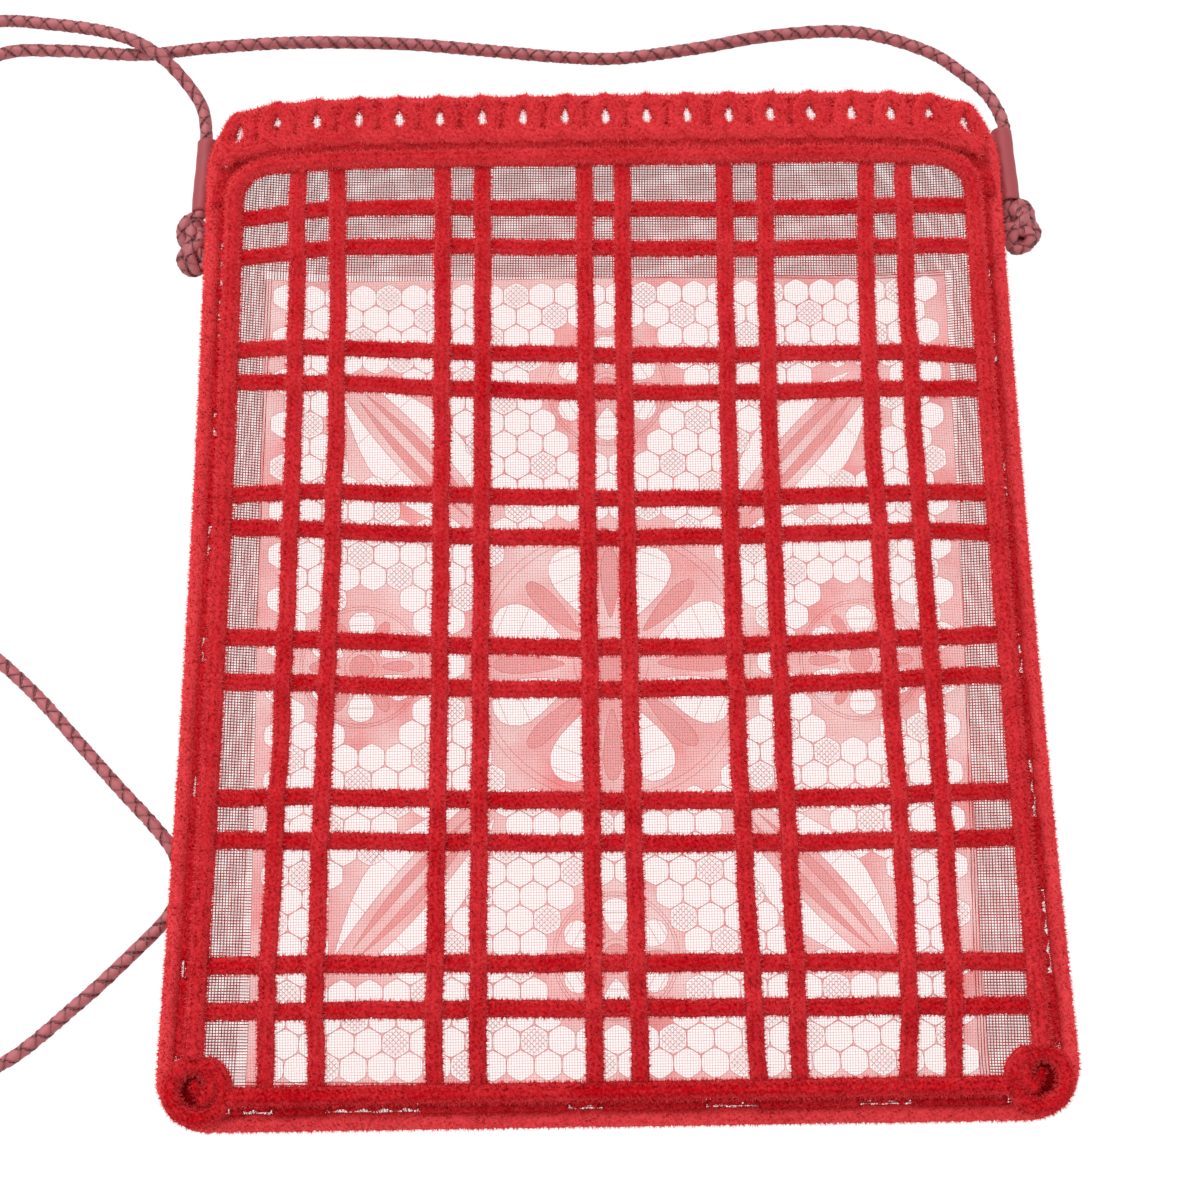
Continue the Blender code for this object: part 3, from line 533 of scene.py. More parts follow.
def sheer_finish():
    """Sheer pink lace cloth: a fine weave that lets the ground show."""
    f = Finish("lace_sheer", Roughness=0.8, Transmission_Weight=0.64, IOR=1.02)
    weave = f.noise(2600.0, 2.0, 0.7)
    cloud = f.noise(45.0, 3.0)
    faded = (cloud * 2.6 - 0.75).held()
    f.feed(
        f.shader,
        {
            "Base Color": f.blend(faded, (0.95, 0.105, 0.11), (0.99, 0.40, 0.38)),
            "Alpha": (0.84 - faded * 0.40 + weave * 0.16).held(),
        },
    )
    return f.mat


def figure_finish():
    """Dense pink lace cloth of the petals and leaves, woven close."""
    f = Finish("lace_figure", Roughness=0.8, Transmission_Weight=0.6, IOR=1.02)
    weave = f.noise(2400.0, 2.0, 0.7)
    cloud = f.noise(60.0, 3.0)
    f.feed(
        f.shader,
        {
            "Base Color": f.blend(weave * 0.5 + cloud * 0.5, (0.84, 0.075, 0.080), (0.95, 0.22, 0.21)),
            "Alpha": (0.60 + cloud * 0.25 + weave * 0.2).held(),
        },
    )
    return f.mat


def stitch_finish():
    """Pale pink embroidery thread."""
    f = Finish("lace_thread", Roughness=0.6, Transmission_Weight=0.62, IOR=1.02)
    strand = f.noise(1800.0, 2.0)
    f.feed(f.shader, {"Base Color": f.blend(strand, (0.90, 0.44, 0.42), (0.97, 0.60, 0.58))})
    return f.mat


def leather_finish():
    """Smooth dusty red leather with a fine grain."""
    f = Finish("leather", Roughness=0.46)
    grain = f.noise(2200.0, 4.0, 0.6)
    rub = f.noise(160.0, 3.0)
    f.feed(
        f.shader,
        {
            "Base Color": f.blend(rub * 0.7 + grain * 0.3, (0.34, 0.045, 0.058), (0.47, 0.078, 0.094)),
            "Roughness": 0.44 + rub * 0.25,
        },
    )
    f.bump(grain, 0.12 * MM, 0.5)
    return f.mat


def braid_finish():
    """Braided leather strips, with painted shade where one dives under another and at their edges, a painted
    highlight along their tops, and rubbed patches at random.
    """
    f = Finish("braid", Roughness=0.42)
    grain = f.noise(2400.0, 3.0, 0.6)
    rub = f.noise(300.0, 3.0)
    # The layer brings the strips' painted shade and painted highlight; the rub noise adds random tone
    crown_shading = (f.layer() * 1.1 + rub * 0.7 - 0.45).held()
    f.feed(
        f.shader,
        {
            "Base Color": f.blend(crown_shading, (0.14, 0.026, 0.029), (0.52, 0.135, 0.148)),
            "Roughness": 0.34 + rub * 0.28,
        },
    )
    f.bump(grain, 0.10 * MM, 0.5)
    return f.mat


VELOUR = velour_finish()
# Painted light: the front net's thread is coloured far paler than the back net's, for the bright light
# glowing through it
FRONT_NET = thread_finish("front_net_thread", (0.90, 0.32, 0.28), (0.97, 0.50, 0.45), 0.74)
BACK_NET = thread_finish("back_net_thread", (0.62, 0.046, 0.045), (0.84, 0.088, 0.082), 0.25)
SHEER = sheer_finish()
FIGURE = figure_finish()
STITCH = stitch_finish()
LEATHER = leather_finish()
BRAID = braid_finish()


# Camera, floor and light

WHITE = (1.0, 1.0, 1.0, 1.0)
CAMERA_AT = (-0.0043, -0.1131, 0.5042)
CAMERA_TILT = math.radians(12.5)
CAMERA_TURN = math.radians(-0.85)
CAMERA_LENS = 60.0
FLOOR_REACH = 4.0
FLOOR_DROP = 0.0001
FLOOR_GREY = 0.86
FLOOR_GLOW = 0.93
PAPER_WHITE = 1.06
SKY_STRENGTH = 0.72
SOFTBOX_STRENGTH = 1.25
SOFTBOX_SPREAD = math.radians(35.0)
SOFTBOX_TURN = (math.radians(-28.0), math.radians(-22.0), 0.0)


def studio():
    """The photograph's camera over a pale floor, which looks paper white, in soft light from above."""
    camera = bpy.data.objects.new("camera", bpy.data.cameras.new("camera"))
    bpy.context.scene.collection.objects.link(camera)
    camera.location = CAMERA_AT
    camera.rotation_euler = (CAMERA_TILT, 0.0, CAMERA_TURN)
    camera.data.lens = CAMERA_LENS
    camera.data.sensor_width = 36.0
    camera.data.clip_start = 0.01
    bpy.context.scene.camera = camera

    mesh = bpy.data.meshes.new("floor")
    corners = [(FLOOR_REACH * x, FLOOR_REACH * y, 0.0) for x, y in ((-1, -1), (1, -1), (1, 1), (-1, 1))]
    mesh.from_pydata(corners, [], [(0, 1, 2, 3)])
    floor = bpy.data.objects.new("floor", mesh)
    floor.location.z = -FLOOR_DROP
    bpy.context.scene.collection.objects.link(floor)
    f = Finish("floor", Roughness=1.0, Base_Color=(FLOOR_GREY, FLOOR_GREY, FLOOR_GREY, 1.0))
    mesh.materials.append(f.mat)
    seen = f.node("ShaderNodeLightPath", {}, {}, "Is Camera Ray")
    mirrored = f.node("ShaderNodeLightPath", {}, {}, "Is Glossy Ray")
    through = f.node("ShaderNodeLightPath", {}, {}, "Is Transmission Ray")
    paper = f.node("ShaderNodeEmission", {}, {"Color": WHITE, "Strength": PAPER_WHITE}, 0)
    shaded = Wire(f, f.shader.outputs[0])
    glow = (seen + mirrored + through).held() * FLOOR_GLOW
    mixed = f.node("ShaderNodeMixShader", {}, {0: glow, 1: shaded, 2: paper}, 0)
    f.links.new(mixed.socket, f.nodes["Material Output"].inputs["Surface"])

    world = bpy.data.worlds.new("studio")
    world.use_nodes = True
    nodes, links = world.node_tree.nodes, world.node_tree.links
    light = nodes["Background"]
    backdrop = nodes.new("ShaderNodeBackground")
    for sky, strength in ((light, SKY_STRENGTH), (backdrop, 1.0)):
        sky.inputs["Color"].default_value = WHITE
        sky.inputs["Strength"].default_value = strength
    choice = nodes.new("ShaderNodeMixShader")
    links.new(nodes.new("ShaderNodeLightPath").outputs["Is Camera Ray"], choice.inputs[0])
    links.new(light.outputs[0], choice.inputs[1])
    links.new(backdrop.outputs[0], choice.inputs[2])
    links.new(choice.outputs[0], nodes["World Output"].inputs["Surface"])
    bpy.context.scene.world = world

    lamp = bpy.data.lights.new("softbox", "SUN")
    lamp.energy = SOFTBOX_STRENGTH
    lamp.angle = SOFTBOX_SPREAD
    softbox = bpy.data.objects.new("softbox", lamp)
    softbox.rotation_euler = SOFTBOX_TURN
    bpy.context.scene.collection.objects.link(softbox)
    bpy.context.scene.view_settings.view_transform = "Standard"


studio()


# Braided cord

STRAP_START_TURN = math.pi / 4.0
STRAP_SLOW_TURN = 0.045
BRAID_TURN = 9.4 * MM
BRAID_STEPS = 12
STRIP_HALF_WIDTH = 1.52 * MM
STRIP_HALF_THICKNESS = 0.52 * MM
STRIP_SIDES = 8
BRAID_CORE = 0.98 * MM
BRAID_WEAVE = 0.22 * MM
# The core inside the braid, and its painted shade
CORE_FILL = 1.30 * MM
CORE_SHADE = 0.34


def braided(points, start_turn=0.0, slow_turn=0.0):
    """Four leather strips braided round a line: two run one way round and two the other."""
    line = evenly(points, BRAID_TURN / BRAID_STEPS)
    _, side, up = carried(line)
    turn = np.arange(len(line)) * 2.0 * math.pi / BRAID_STEPS
    lean = start_turn + slow_turn * turn
    around = np.linspace(0.0, 2.0 * math.pi, STRIP_SIDES, endpoint=False)
    parts = []
    for way in (1.0, -1.0):
        for phase in (0.0, math.pi):
            angle = way * turn + phase + lean
            out = np.cos(angle)[:, None] * side + np.sin(angle)[:, None] * up
            over = way * np.cos(2.0 * turn)
            centre = line + (BRAID_CORE + BRAID_WEAVE * over)[:, None] * out
            ahead = unit(np.gradient(centre, axis=0))
            flat = unit(np.cross(ahead, out))
            thick = np.cross(flat, ahead)
            rings = (
                centre[:, None, :]
                + STRIP_HALF_WIDTH * np.cos(around)[None, :, None] * flat[:, None, :]
                + STRIP_HALF_THICKNESS * np.sin(around)[None, :, None] * thick[:, None, :]
            )
            verts, tris = skin(rings)
            # Painted shade where a strip dives under and at its edges, painted highlight along its top
            crown_shading = 0.42 + 0.38 * over[:, None] + 0.34 * np.sin(around)[None, :]
            crown_shading = crown_shading - 0.30 * np.cos(around)[None, :] ** 4
            layer = np.concatenate([crown_shading.ravel(), [0.3, 0.3]])
            parts.append((verts, tris, layer))
    # A core fills the gaps between the strips, coloured dark as painted shade
    core = line[::2, None, :] + CORE_FILL * (
        np.cos(around)[None, :, None] * side[::2, None, :] + np.sin(around)[None, :, None] * up[::2, None, :]
    )
    verts, tris = skin(core)
    parts.append((verts, tris, np.full(len(verts), CORE_SHADE)))
    return joined(parts)


def strap():
    """The braided strap, and the middle line along which it lies."""
    line = smooth_line(STRAP_ROUTE, 12)
    verts, tris, layer = braided(line, STRAP_START_TURN, STRAP_SLOW_TURN)
    item = piece("strap_braid", verts, tris, BRAID, "braid", layer, ["strap"])
    return item, evenly(line, 3.0 * MM)


# How the end knots are tied, in mm: out from the sleeve's foot, along the pouch's side, height off the floor
KNOT_RIGHT = [
    (0.0, 6.0, 3.4),
    (0.0, 1.0, 3.4),
    (-0.2, -2.4, 2.8),
    (0.0, -6.0, 2.2),
    (1.8, -8.8, 2.0),
    (4.6, -8.4, 2.1),
    (5.8, -5.4, 2.6),
    (5.0, -2.4, 3.6),
    (2.6, -1.4, 4.8),
    (1.6, -3.6, 5.6),
    (2.6, -6.0, 5.8),
    (4.8, -7.4, 5.4),
    (6.6, -8.8, 4.4),
    (6.0, -10.8, 3.0),
    (3.2, -11.6, 2.2),
    (0.2, -11.0, 2.6),
    (-1.0, -9.2, 4.0),
    (0.4, -8.2, 5.4),
    (3.0, -9.2, 5.8),
    (5.2, -10.8, 5.4),
    (4.4, -12.6, 4.0),
    (2.2, -13.2, 2.8),
    (0.4, -12.4, 3.4),
    (0.6, -9.8, 5.2),
    (2.4, -7.6, 6.4),
    (3.6, -5.0, 6.0),
    (3.4, -3.4, 4.2),
]
KNOT_LEFT = [
    (0.0, 6.0, 3.4),
    (0.2, 1.0, 3.6),
    (1.6, -1.4, 4.2),
    (4.0, -2.6, 4.4),
    (5.5, -5.4, 3.8),
    (4.8, -8.4, 2.8),
    (2.2, -9.6, 2.2),
    (-0.2, -8.0, 2.4),
    (-0.4, -5.0, 3.2),
    (1.4, -3.9, 5.0),
    (2.6, -6.0, 6.0),
    (2.2, -8.8, 6.0),
    (3.6, -11.2, 5.4),
    (5.2, -13.4, 3.8),
    (3.8, -15.8, 2.6),
    (1.2, -15.6, 2.4),
    (0.0, -13.2, 3.0),
    (0.8, -11.0, 4.8),
    (-0.6, -12.4, 5.2),
    (-0.6, -15.4, 3.6),
    (1.4, -16.0, 4.4),
    (2.9, -13.8, 5.4),
    (2.2, -11.4, 6.2),
    (0.4, -9.2, 5.8),
    (0.6, -6.6, 5.2),
    (2.8, -4.6, 4.4),
]


def knots():
    """The strap's end knots, one below each sleeve."""
    made = []
    for side, tag, tied in ((1.0, "right", KNOT_RIGHT), (-1.0, "left", KNOT_LEFT)):
        spots = np.array(tied) * MM
        spots[:, 0] = side * (spots[:, 0] + abs(STRAP_ROUTE[-1 if side > 0.0 else 0][0]))
        spots[:, 1] += SLEEVE_LOW_Y
        verts, tris, layer = braided(smooth_line(spots, 10), 0.4, 0.02)
        made.append(piece(f"knot_{tag}_braid", verts, tris, BRAID, "braid", layer, [f"knot_{tag}"]))
    return made


strap_piece, strap_path = strap()
knot_pieces = knots()


# Leather sleeves

SLEEVE_SIDES = 36
SLEEVE_WALL = 0.75 * MM
SLEEVE_STEPS = 16
SLEEVE_LEAN = 1.2 * MM
SLEEVE_SEAM = 0.16 * MM
SLEEVE_SEAM_AT = 1.1
SLEEVE_SEAM_WIDTH = 0.07


def sleeves():
    """The leather sleeves: open tubes with rounded rims, light creases and a seam."""
    around = SLEEVE_SIDES
    turn = np.linspace(0.0, 2.0 * math.pi, around, endpoint=False)
    radius = SLEEVE / 2.0
    wall = SLEEVE_WALL
    profile = [
        (radius - wall, 1.2 * MM),
        (radius - wall, 0.35 * MM),
        (radius - wall * 0.7, 0.0),
        (radius - wall * 0.25, 0.0),
        (radius - 0.02 * MM, 0.3 * MM),
        (radius, 0.8 * MM),
    ]
    ends = [(r, SLEEVE_LOW_Y + low) for r, low in profile]
    for k in range(1, SLEEVE_STEPS):
        ends.append((radius, SLEEVE_LOW_Y + SLEEVE_LENGTH * k / SLEEVE_STEPS))
    ends += [(r, SLEEVE_TOP_Y - low) for r, low in profile[::-1]]
    for side, tag in ((1.0, "right"), (-1.0, "left")):
        rng = np.random.default_rng(41 + int(side))
        waves = rng.uniform(0.0, 6.28, 6)
        rings = []
        for r, y in ends:
            share = (y - SLEEVE_LOW_Y) / SLEEVE_LENGTH
            x = abs(STRAP_ROUTE[-1 if side > 0.0 else 0][0]) + (0.5 - share) * SLEEVE_LEAN
            crease = 0.05 * MM * np.sin(9.0 * share + 2.0 * turn + waves[0])
            crease += 0.04 * MM * np.sin(23.0 * share - 3.0 * turn + waves[1])
            off_seam = np.angle(np.exp(1j * (turn - SLEEVE_SEAM_AT))) / SLEEVE_SEAM_WIDTH
            groove = -SLEEVE_SEAM * np.exp(-(off_seam**2))
            bulk = r + (crease + groove if r > radius - 0.1 * MM else 0.0)
            rings.append(
                np.stack(
                    [
                        side * (x + bulk * np.cos(turn) * 0.97),
                        np.full(around, y),
                        SLEEVE / 2.0 + CLEARANCE * 2.0 + bulk * np.sin(turn),
                    ],
                    axis=1,
                )
            )
        rings = np.array(rings)
        count = len(rings)
        verts = rings.reshape(-1, 3)
        tris = []
        for k in range(count):
            a = k * around + np.arange(around)
            b = k * around + (np.arange(around) + 1) % around
            nxt = ((k + 1) % count - k) * around
            tris.append(np.stack([a, b, b + nxt], 1))
            tris.append(np.stack([a, b + nxt, a + nxt], 1))
        tris = np.vstack(tris)
        piece(f"sleeve_{tag}_leather", verts, tris, LEATHER, "leather", None, [f"sleeve_{tag}"])


sleeves()


# Velour cords

# The pile: how long and wide its fibres are, how many stand on a square mm, and how far they lean at random,
# with their neighbours and away from the furrow
PILE = 1.10 * MM
PILE_SPREAD = (0.5, 1.3)
SEAM_PILE = 0.85 * MM
PILE_ROOT = 0.108 * MM
PILE_DENSITY = 7.1
PILE_SCATTER = 0.45
PILE_SWIRL = 0.60
PILE_PARTING = 0.22
# The cord's body under the pile, and the furrow along its top
BODY_STEP = 1.2 * MM
BODY_SIDES = 10
BODY_INSET = 0.10 * MM
BODY_LUMPS = 0.05
BODY_END = 0.55
FURROW = 0.50 * MM
FURROW_SHARE = 0.32
PARTING_SHARE = 0.45
# How much painted shade deepens the colour from the mouth to the foot, and where that starts as a share of
# the height
FOOT_SHADE = 0.44
SHADE_STARTS = 0.35
# The low pile in the gap between seam and frame, darkened with painted shade
GAP_WIDTH = 3.0 * MM
GAP_HEIGHT = 1.3 * MM
GAP_SHADOW = 0.16
GLIMPSE_WIDTH = 2.0 * MM
GLIMPSE_PERIOD = 5.2 * MM
# The coils: where their round runs, and where it ends inside
COIL_MIDDLE = 6.5 * MM
COIL_HEART = 2.3 * MM
# The mouth's loops: where their crests lie, how far they fall, swing aside and slim towards the crest
LOOP_CREST_Y = 130.4 * MM
LOOP_FALL = 11.2 * MM
LOOP_SWING = 5.95 * MM
LOOP_SLIM = 0.95 * MM
LOOP_SAMPLES = 26
LOOP_LIMIT = 101.0 * MM
LOOP_LIFT = 1.5 * MM
LOOP_CROSSING = 0.7 * MM
MOUTH_DROOP = 3.4 * MM
MOUTH_DROOP_FROM = 84.0 * MM
MOUTH_DROOP_SPAN = 17.0 * MM
# The lattice bars: how thick their pile stands, how they wander, and how a column climbs over each row
BAR_END = 0.8 * MM
BAR_WANDER = 0.16 * MM
ROW_LOFT = 0.3 * MM
COLUMN_LOFT = 0.5 * MM
COLUMN_HUMP = 1.7 * MM
COLUMN_HUMP_SPAN = 4.2 * MM
# Painted shade on each cord: how much darker it is than the plain pile; a negative one is painted light that
# makes it brighter
ROW_SHADOW = -0.02
COLUMN_SHADOW = -0.08
SEAM_SHADOW = -0.40
FRAME_SHADOW = -0.14
LOOP_SHADOW = -0.22
BEHIND_SHADOW = -0.20
BETWEEN_SHADOW = 0.02
BASE_SHADOW = -0.10
HEAP_SHADOW = 0.10
RIDGE_SHADOW = 0.12
PIT_SHADOW = 0.62


def pile_cord(
    line, width, height, seed, low=-35.0, high=215.0, furrow=FURROW, shadow=0.0, pile=PILE
):
    """A lumpy cord with a furrow along its top and short fibres all over; shadow is painted shade that
    darkens a sunken one, and a negative one painted light.
    """
    rng = np.random.default_rng(seed)
    line = evenly(line, BODY_STEP)
    _, side, up = upright(line)
    half_w = width / 2.0 - BODY_INSET
    half_h = height / 2.0 - BODY_INSET
    around = np.linspace(0.0, 2.0 * math.pi, BODY_SIDES, endpoint=False)
    lumps = 1.0 + BODY_LUMPS * rng.standard_normal((len(line), BODY_SIDES))
    taper = np.ones(len(line))
    taper[[0, -1]] = BODY_END
    dent = furrow * np.exp(-((np.cos(around) / FURROW_SHARE) ** 2)) * (np.sin(around) > 0.0)
    across = half_w * np.cos(around)[None, :] * lumps * taper[:, None]
    rise = (half_h * np.sin(around) - dent)[None, :] * lumps * taper[:, None]
    rings = line[:, None, :] + across[..., None] * side[:, None, :] + rise[..., None] * up[:, None, :]
    body_verts, body_tris = skin(rings)
    # Painted shade: the body under the pile is darker than the fibres' tips, and darker still along the
    # furrow
    body_layer = np.full(len(body_verts), 0.3 - shadow)
    body_layer[:-2] -= np.tile(dent / max(furrow, 0.1 * MM) * 0.5, len(line))

    run = np.concatenate([[0.0], np.cumsum(np.linalg.norm(np.diff(line, axis=0), axis=1))])
    arc_angle = math.radians(high - low)
    area = run[-1] / MM * arc_angle * 0.5 * (half_w + half_h) / MM
    count = int(area * PILE_DENSITY)
    at = rng.uniform(0.0, run[-1], count)
    angle = np.radians(rng.uniform(low, high, count))
    centre, side_at, up_at = (
        np.stack([np.interp(at, run, field[:, k]) for k in range(3)], 1) for field in (line, side, up)
    )
    sunk = np.exp(-((np.cos(angle) / FURROW_SHARE) ** 2)) * (np.sin(angle) > 0.0)
    root = centre + (half_w * np.cos(angle))[:, None] * side_at
    root += (half_h * np.sin(angle) - furrow * sunk)[:, None] * up_at
    out = unit((np.cos(angle) / half_w)[:, None] * side_at + (np.sin(angle) / half_h)[:, None] * up_at)
    swirl = np.stack(
        [
            np.sin(root[:, 0] * 5200.0 + root[:, 1] * 3100.0 + seed),
            np.sin(root[:, 1] * 5600.0 - root[:, 0] * 2300.0 + 2.0 * seed),
            np.sin(root[:, 0] * 3400.0 + root[:, 1] * 4100.0 - seed),
        ],
        axis=1,
    )
    parting = np.sign(np.cos(angle)) * np.exp(-((np.cos(angle) / PARTING_SHARE) ** 2))
    apart = (PILE_PARTING if furrow else 0.0) * parting[:, None] * side_at
    lean = unit(out + PILE_SCATTER * rng.standard_normal((count, 3)) + PILE_SWIRL * swirl + apart)
    reach = pile * rng.uniform(*PILE_SPREAD, count) * (1.0 - 0.40 * sunk)
    wide = unit(np.cross(lean, rng.standard_normal((count, 3)))) * PILE_ROOT
    root -= 0.08 * MM * out
    fibres = np.stack([root - wide, root + wide, root + lean * reach[:, None]], axis=1).reshape(-1, 3)
    shade = rng.uniform(0.0, 1.0, count) ** 1.3
    # Painted highlight on the fibres at the cord's sides
    painted_rim_light = np.abs(np.cos(angle)) ** 3
    # Painted shade that deepens towards the foot
    shadow = shadow + FOOT_SHADE * (SHADE_STARTS - root[:, 1] / HEIGHT)
    # Painted shade: each fibre's root is darker than its tip, and fibres sunk in the furrow are darker still
    tip = 0.42 + 0.75 * shade * (1.0 - 0.7 * sunk) - 1.15 * sunk + 0.56 * painted_rim_light - shadow
    base = 0.10 + 0.30 * shade - 0.70 * sunk + 0.15 * painted_rim_light - shadow
    fibre_layer = np.stack([base, base, tip], axis=1).ravel()
    fibre_tris = np.arange(3 * count).reshape(-1, 3)
    return joined([(body_verts, body_tris, body_layer), (fibres, fibre_tris, fibre_layer)])


def velour(name, cords, nodes):
    """One piece of velour cord, from one or more pile cords."""
    verts, tris, layer = joined(cords)
    return piece(f"{name}_velour", verts, tris, VELOUR, "velour", layer, nodes)


def wander(seed, size, x, period=31.0 * MM):
    """A small hand-laid wander from the smooth line."""
    rng = np.random.default_rng(seed)
    a, b = rng.uniform(0.0, 6.28, 2)
    return size * (0.7 * np.sin(x * 6.28 / period + a) + 0.3 * np.sin(x * 6.28 / period * 2.3 + b))


def stray(values, share):
    """The smooth bend through a bar's five measured places, at share from -1 to 1 along it."""
    places = (-1.0, -0.5, 0.0, 0.5, 1.0)
    total = 0.0
    for k, value in enumerate(values):
        weight = 1.0
        for j, other in enumerate(places):
            if j != k:
                weight = weight * (share - other) / (places[k] - other)
        total = total + value * weight
    return total * MM


def row_y(number, x):
    """Where a row runs: its straight place, and its stray at x."""
    away = ROW_GAP / 2.0 if number % 2 == 0 else -ROW_GAP / 2.0
    bend = stray(ROW_STRAYS[number], x / ROW_STRAY_HALF)
    return ROW_FIRST_Y - (number // 2) * ROW_PITCH + away + bend


def row_line(number):
    """The middle line of a row, laid on the net."""
    reach = frame_x(row_y(number, 0.0)) - BAR_END
    x = np.linspace(-reach, reach, 160)
    y = row_y(number, x) + wander(300 + number, BAR_WANDER, x)
    return np.stack([x, y, on_front(x, y) + ROW_HEIGHT / 2.0], axis=1)


def column_x(number, y):
    """Where a column runs: its straight place, and its stray at y."""
    pair = number // 2 - COLUMN_LAST
    side = -1 if number % 2 == 0 else 1
    share = np.clip((y - FRAME_FOOT_Y) / (FRAME_TOP_Y - FRAME_FOOT_Y), 0.0, 1.0)
    end = COLUMN_END_FOOT + (COLUMN_END_MOUTH - COLUMN_END_FOOT) * share
    gap = COLUMN_GAP_FOOT + (COLUMN_GAP_MOUTH - COLUMN_GAP_FOOT) * share
    bend = stray(COLUMN_STRAYS[number], y / COLUMN_STRAY_HALF)
    return pair * end / COLUMN_LAST + side * gap / 2.0 + bend


def column_line(number):
    """The middle line of a column, which climbs over each row."""
    y = np.linspace(FRAME_FOOT_Y + BAR_END, FRAME_TOP_Y - BAR_END, 260)
    x = column_x(number, y) + wander(500 + number, BAR_WANDER, y)
    hump = np.zeros_like(y)
    for k in range(2 * ROW_PAIRS):
        middle = row_y(k, x)
        hump = np.maximum(hump, np.exp(-(((y - middle) / COLUMN_HUMP_SPAN) ** 2)))
    z = on_front(x, y) + ROW_HEIGHT / 2.0 + COLUMN_HUMP * hump
    return np.stack([x, y, z], axis=1)


def lattice():
    """The rows and columns of flat cord across the front."""
    for number in range(2 * ROW_PAIRS):
        name = f"row_{number + 1:02d}"
        height = ROW_HEIGHT + ROW_LOFT
        cord = pile_cord(row_line(number), ROW_WIDTH, height, 20 + number, shadow=ROW_SHADOW)
        velour(name, [cord], [name])
    for number in range(2 * COLUMN_PAIRS):
        name = f"column_{number + 1:02d}"
        height = ROW_HEIGHT + COLUMN_LOFT
        cord = pile_cord(column_line(number), COLUMN_WIDTH, height, 50 + number, shadow=COLUMN_SHADOW)
        velour(name, [cord], [name])


def arc(centre_x, centre_y, radius, first, last, count):
    """Points on an arc, between two angles in degrees."""
    turn = np.radians(np.linspace(first, last, count))
    return np.stack([centre_x + radius * np.cos(turn), centre_y + radius * np.sin(turn)], axis=1)


def mirrored(half):
    """A line down the right side and round to the left one."""
    other = half[::-1].copy()
    other[:, 0] *= -1.0
    return np.vstack([half, other])


def seam():
    """The outer cord, up both sides and round the foot."""
    top = NET_MOUTH_Y - SEAM_CORD * 0.6
    arc_y = SEAM_FOOT_Y + FOOT_CORNER
    y = np.linspace(top, arc_y, 120)
    side = np.stack([half_span(y, 0.0), y], axis=1)
    arc_x = half_width(arc_y) - FOOT_CORNER
    corner = arc(arc_x, arc_y, FOOT_CORNER, -2.0, -90.0, 12)
    foot = np.array([[arc_x * 0.6, SEAM_FOOT_Y], [arc_x * 0.2, SEAM_FOOT_Y]])
    plan = mirrored(np.vstack([side, corner, foot]))
    line = np.column_stack([plan, np.full(len(plan), SEAM_Z)])
    cord = pile_cord(line, SEAM_CORD, SEAM_CORD, 81, -70.0, 250.0, 0.15 * MM, SEAM_SHADOW, SEAM_PILE)
    velour("seam_cord", [cord], ["seam_cord"])


def coil_centre():
    """The middle of the right foot corner's coil."""
    y = SEAM_FOOT_Y + COIL_INSET_Y
    return half_width(y) - COIL_INSET_X, y


# Stretches of the gap between seam and frame that stay open to the ground, in mm along y or x
SIDE_GLIMPSES = {
    -1: [(-96, -92), (-52, -47), (-18, -12), (8, 17), (41, 47), (68, 78), (82, 94)],
    1: [(-98, -78), (-60, -46), (-24, -14), (22, 34), (58, 66), (79, 84)],
}
FOOT_GLIMPSES = [(-90, -83), (-70, -48), (-12, -4), (21, 33), (58, 70)]


def gap_stretches(low, high, glimpses):
    """The stretches from low to high, and whether each is an open glimpse."""
    start = low
    for a, b in glimpses:
        if start < a * MM < high:
            yield start, a * MM, False
            yield a * MM, b * MM, True
            start = b * MM
    yield start, high, False


def gap_pile():
    """The low pile in the gap between the seam cord and the inner frame, darkened with painted shade."""
    coil_x, coil_y = coil_centre()
    corner_y = FRAME_TOP_Y - FRAME_CORNER
    width, height, shadow = GAP_WIDTH, GAP_HEIGHT, GAP_SHADOW
    sides, foot = [], []
    for side in (-1, 1):
        for a, b, is_open in gap_stretches(coil_y + COIL_RADIUS, corner_y, SIDE_GLIMPSES[side]):
            y = np.linspace(a, b, 40)
            x = (frame_x(y) + half_width(y)) / 2.0
            seed = 600 + len(sides)
            if is_open:
                x = x - 0.55 * MM + wander(seed, 0.65 * MM, y, GLIMPSE_PERIOD)
            line = laid(x, y, height / 2.0)
            line[:, 0] *= side
            broad = GLIMPSE_WIDTH if is_open else width
            sides.append(pile_cord(line, broad, height, seed, 0.0, 180.0, 0.0, shadow))
        middle = frame_x(corner_y) - FRAME_CORNER
        for k, out in enumerate((3.2, 5.6)):
            bend = arc(middle, corner_y, FRAME_CORNER + out * MM, 0.0, 90.0, 24)
            room = half_span(bend[:, 1], 1.2 * MM)
            bend[:, 0] = np.minimum(bend[:, 0], room)
            line = laid(bend[:, 0], bend[:, 1], height / 2.0)
            line[:, 0] *= side
            sides.append(pile_cord(line, width, height * 1.5, 620 + k + side, 0.0, 180.0, 0.0, HEAP_SHADOW))
    end = coil_x - COIL_RADIUS
    for a, b, is_open in gap_stretches(-end, end, FOOT_GLIMPSES):
        x = np.linspace(a, b, 40)
        y = np.full(40, (FRAME_FOOT_Y + SEAM_FOOT_Y) / 2.0)
        seed = 640 + len(foot)
        if is_open:
            y = y + 0.45 * MM + wander(seed, 0.6 * MM, x, GLIMPSE_PERIOD)
        broad = GLIMPSE_WIDTH if is_open else width
        foot.append(pile_cord(laid(x, y, height / 2.0), broad, height, seed, 0.0, 180.0, 0.0, shadow))
    return sides, foot


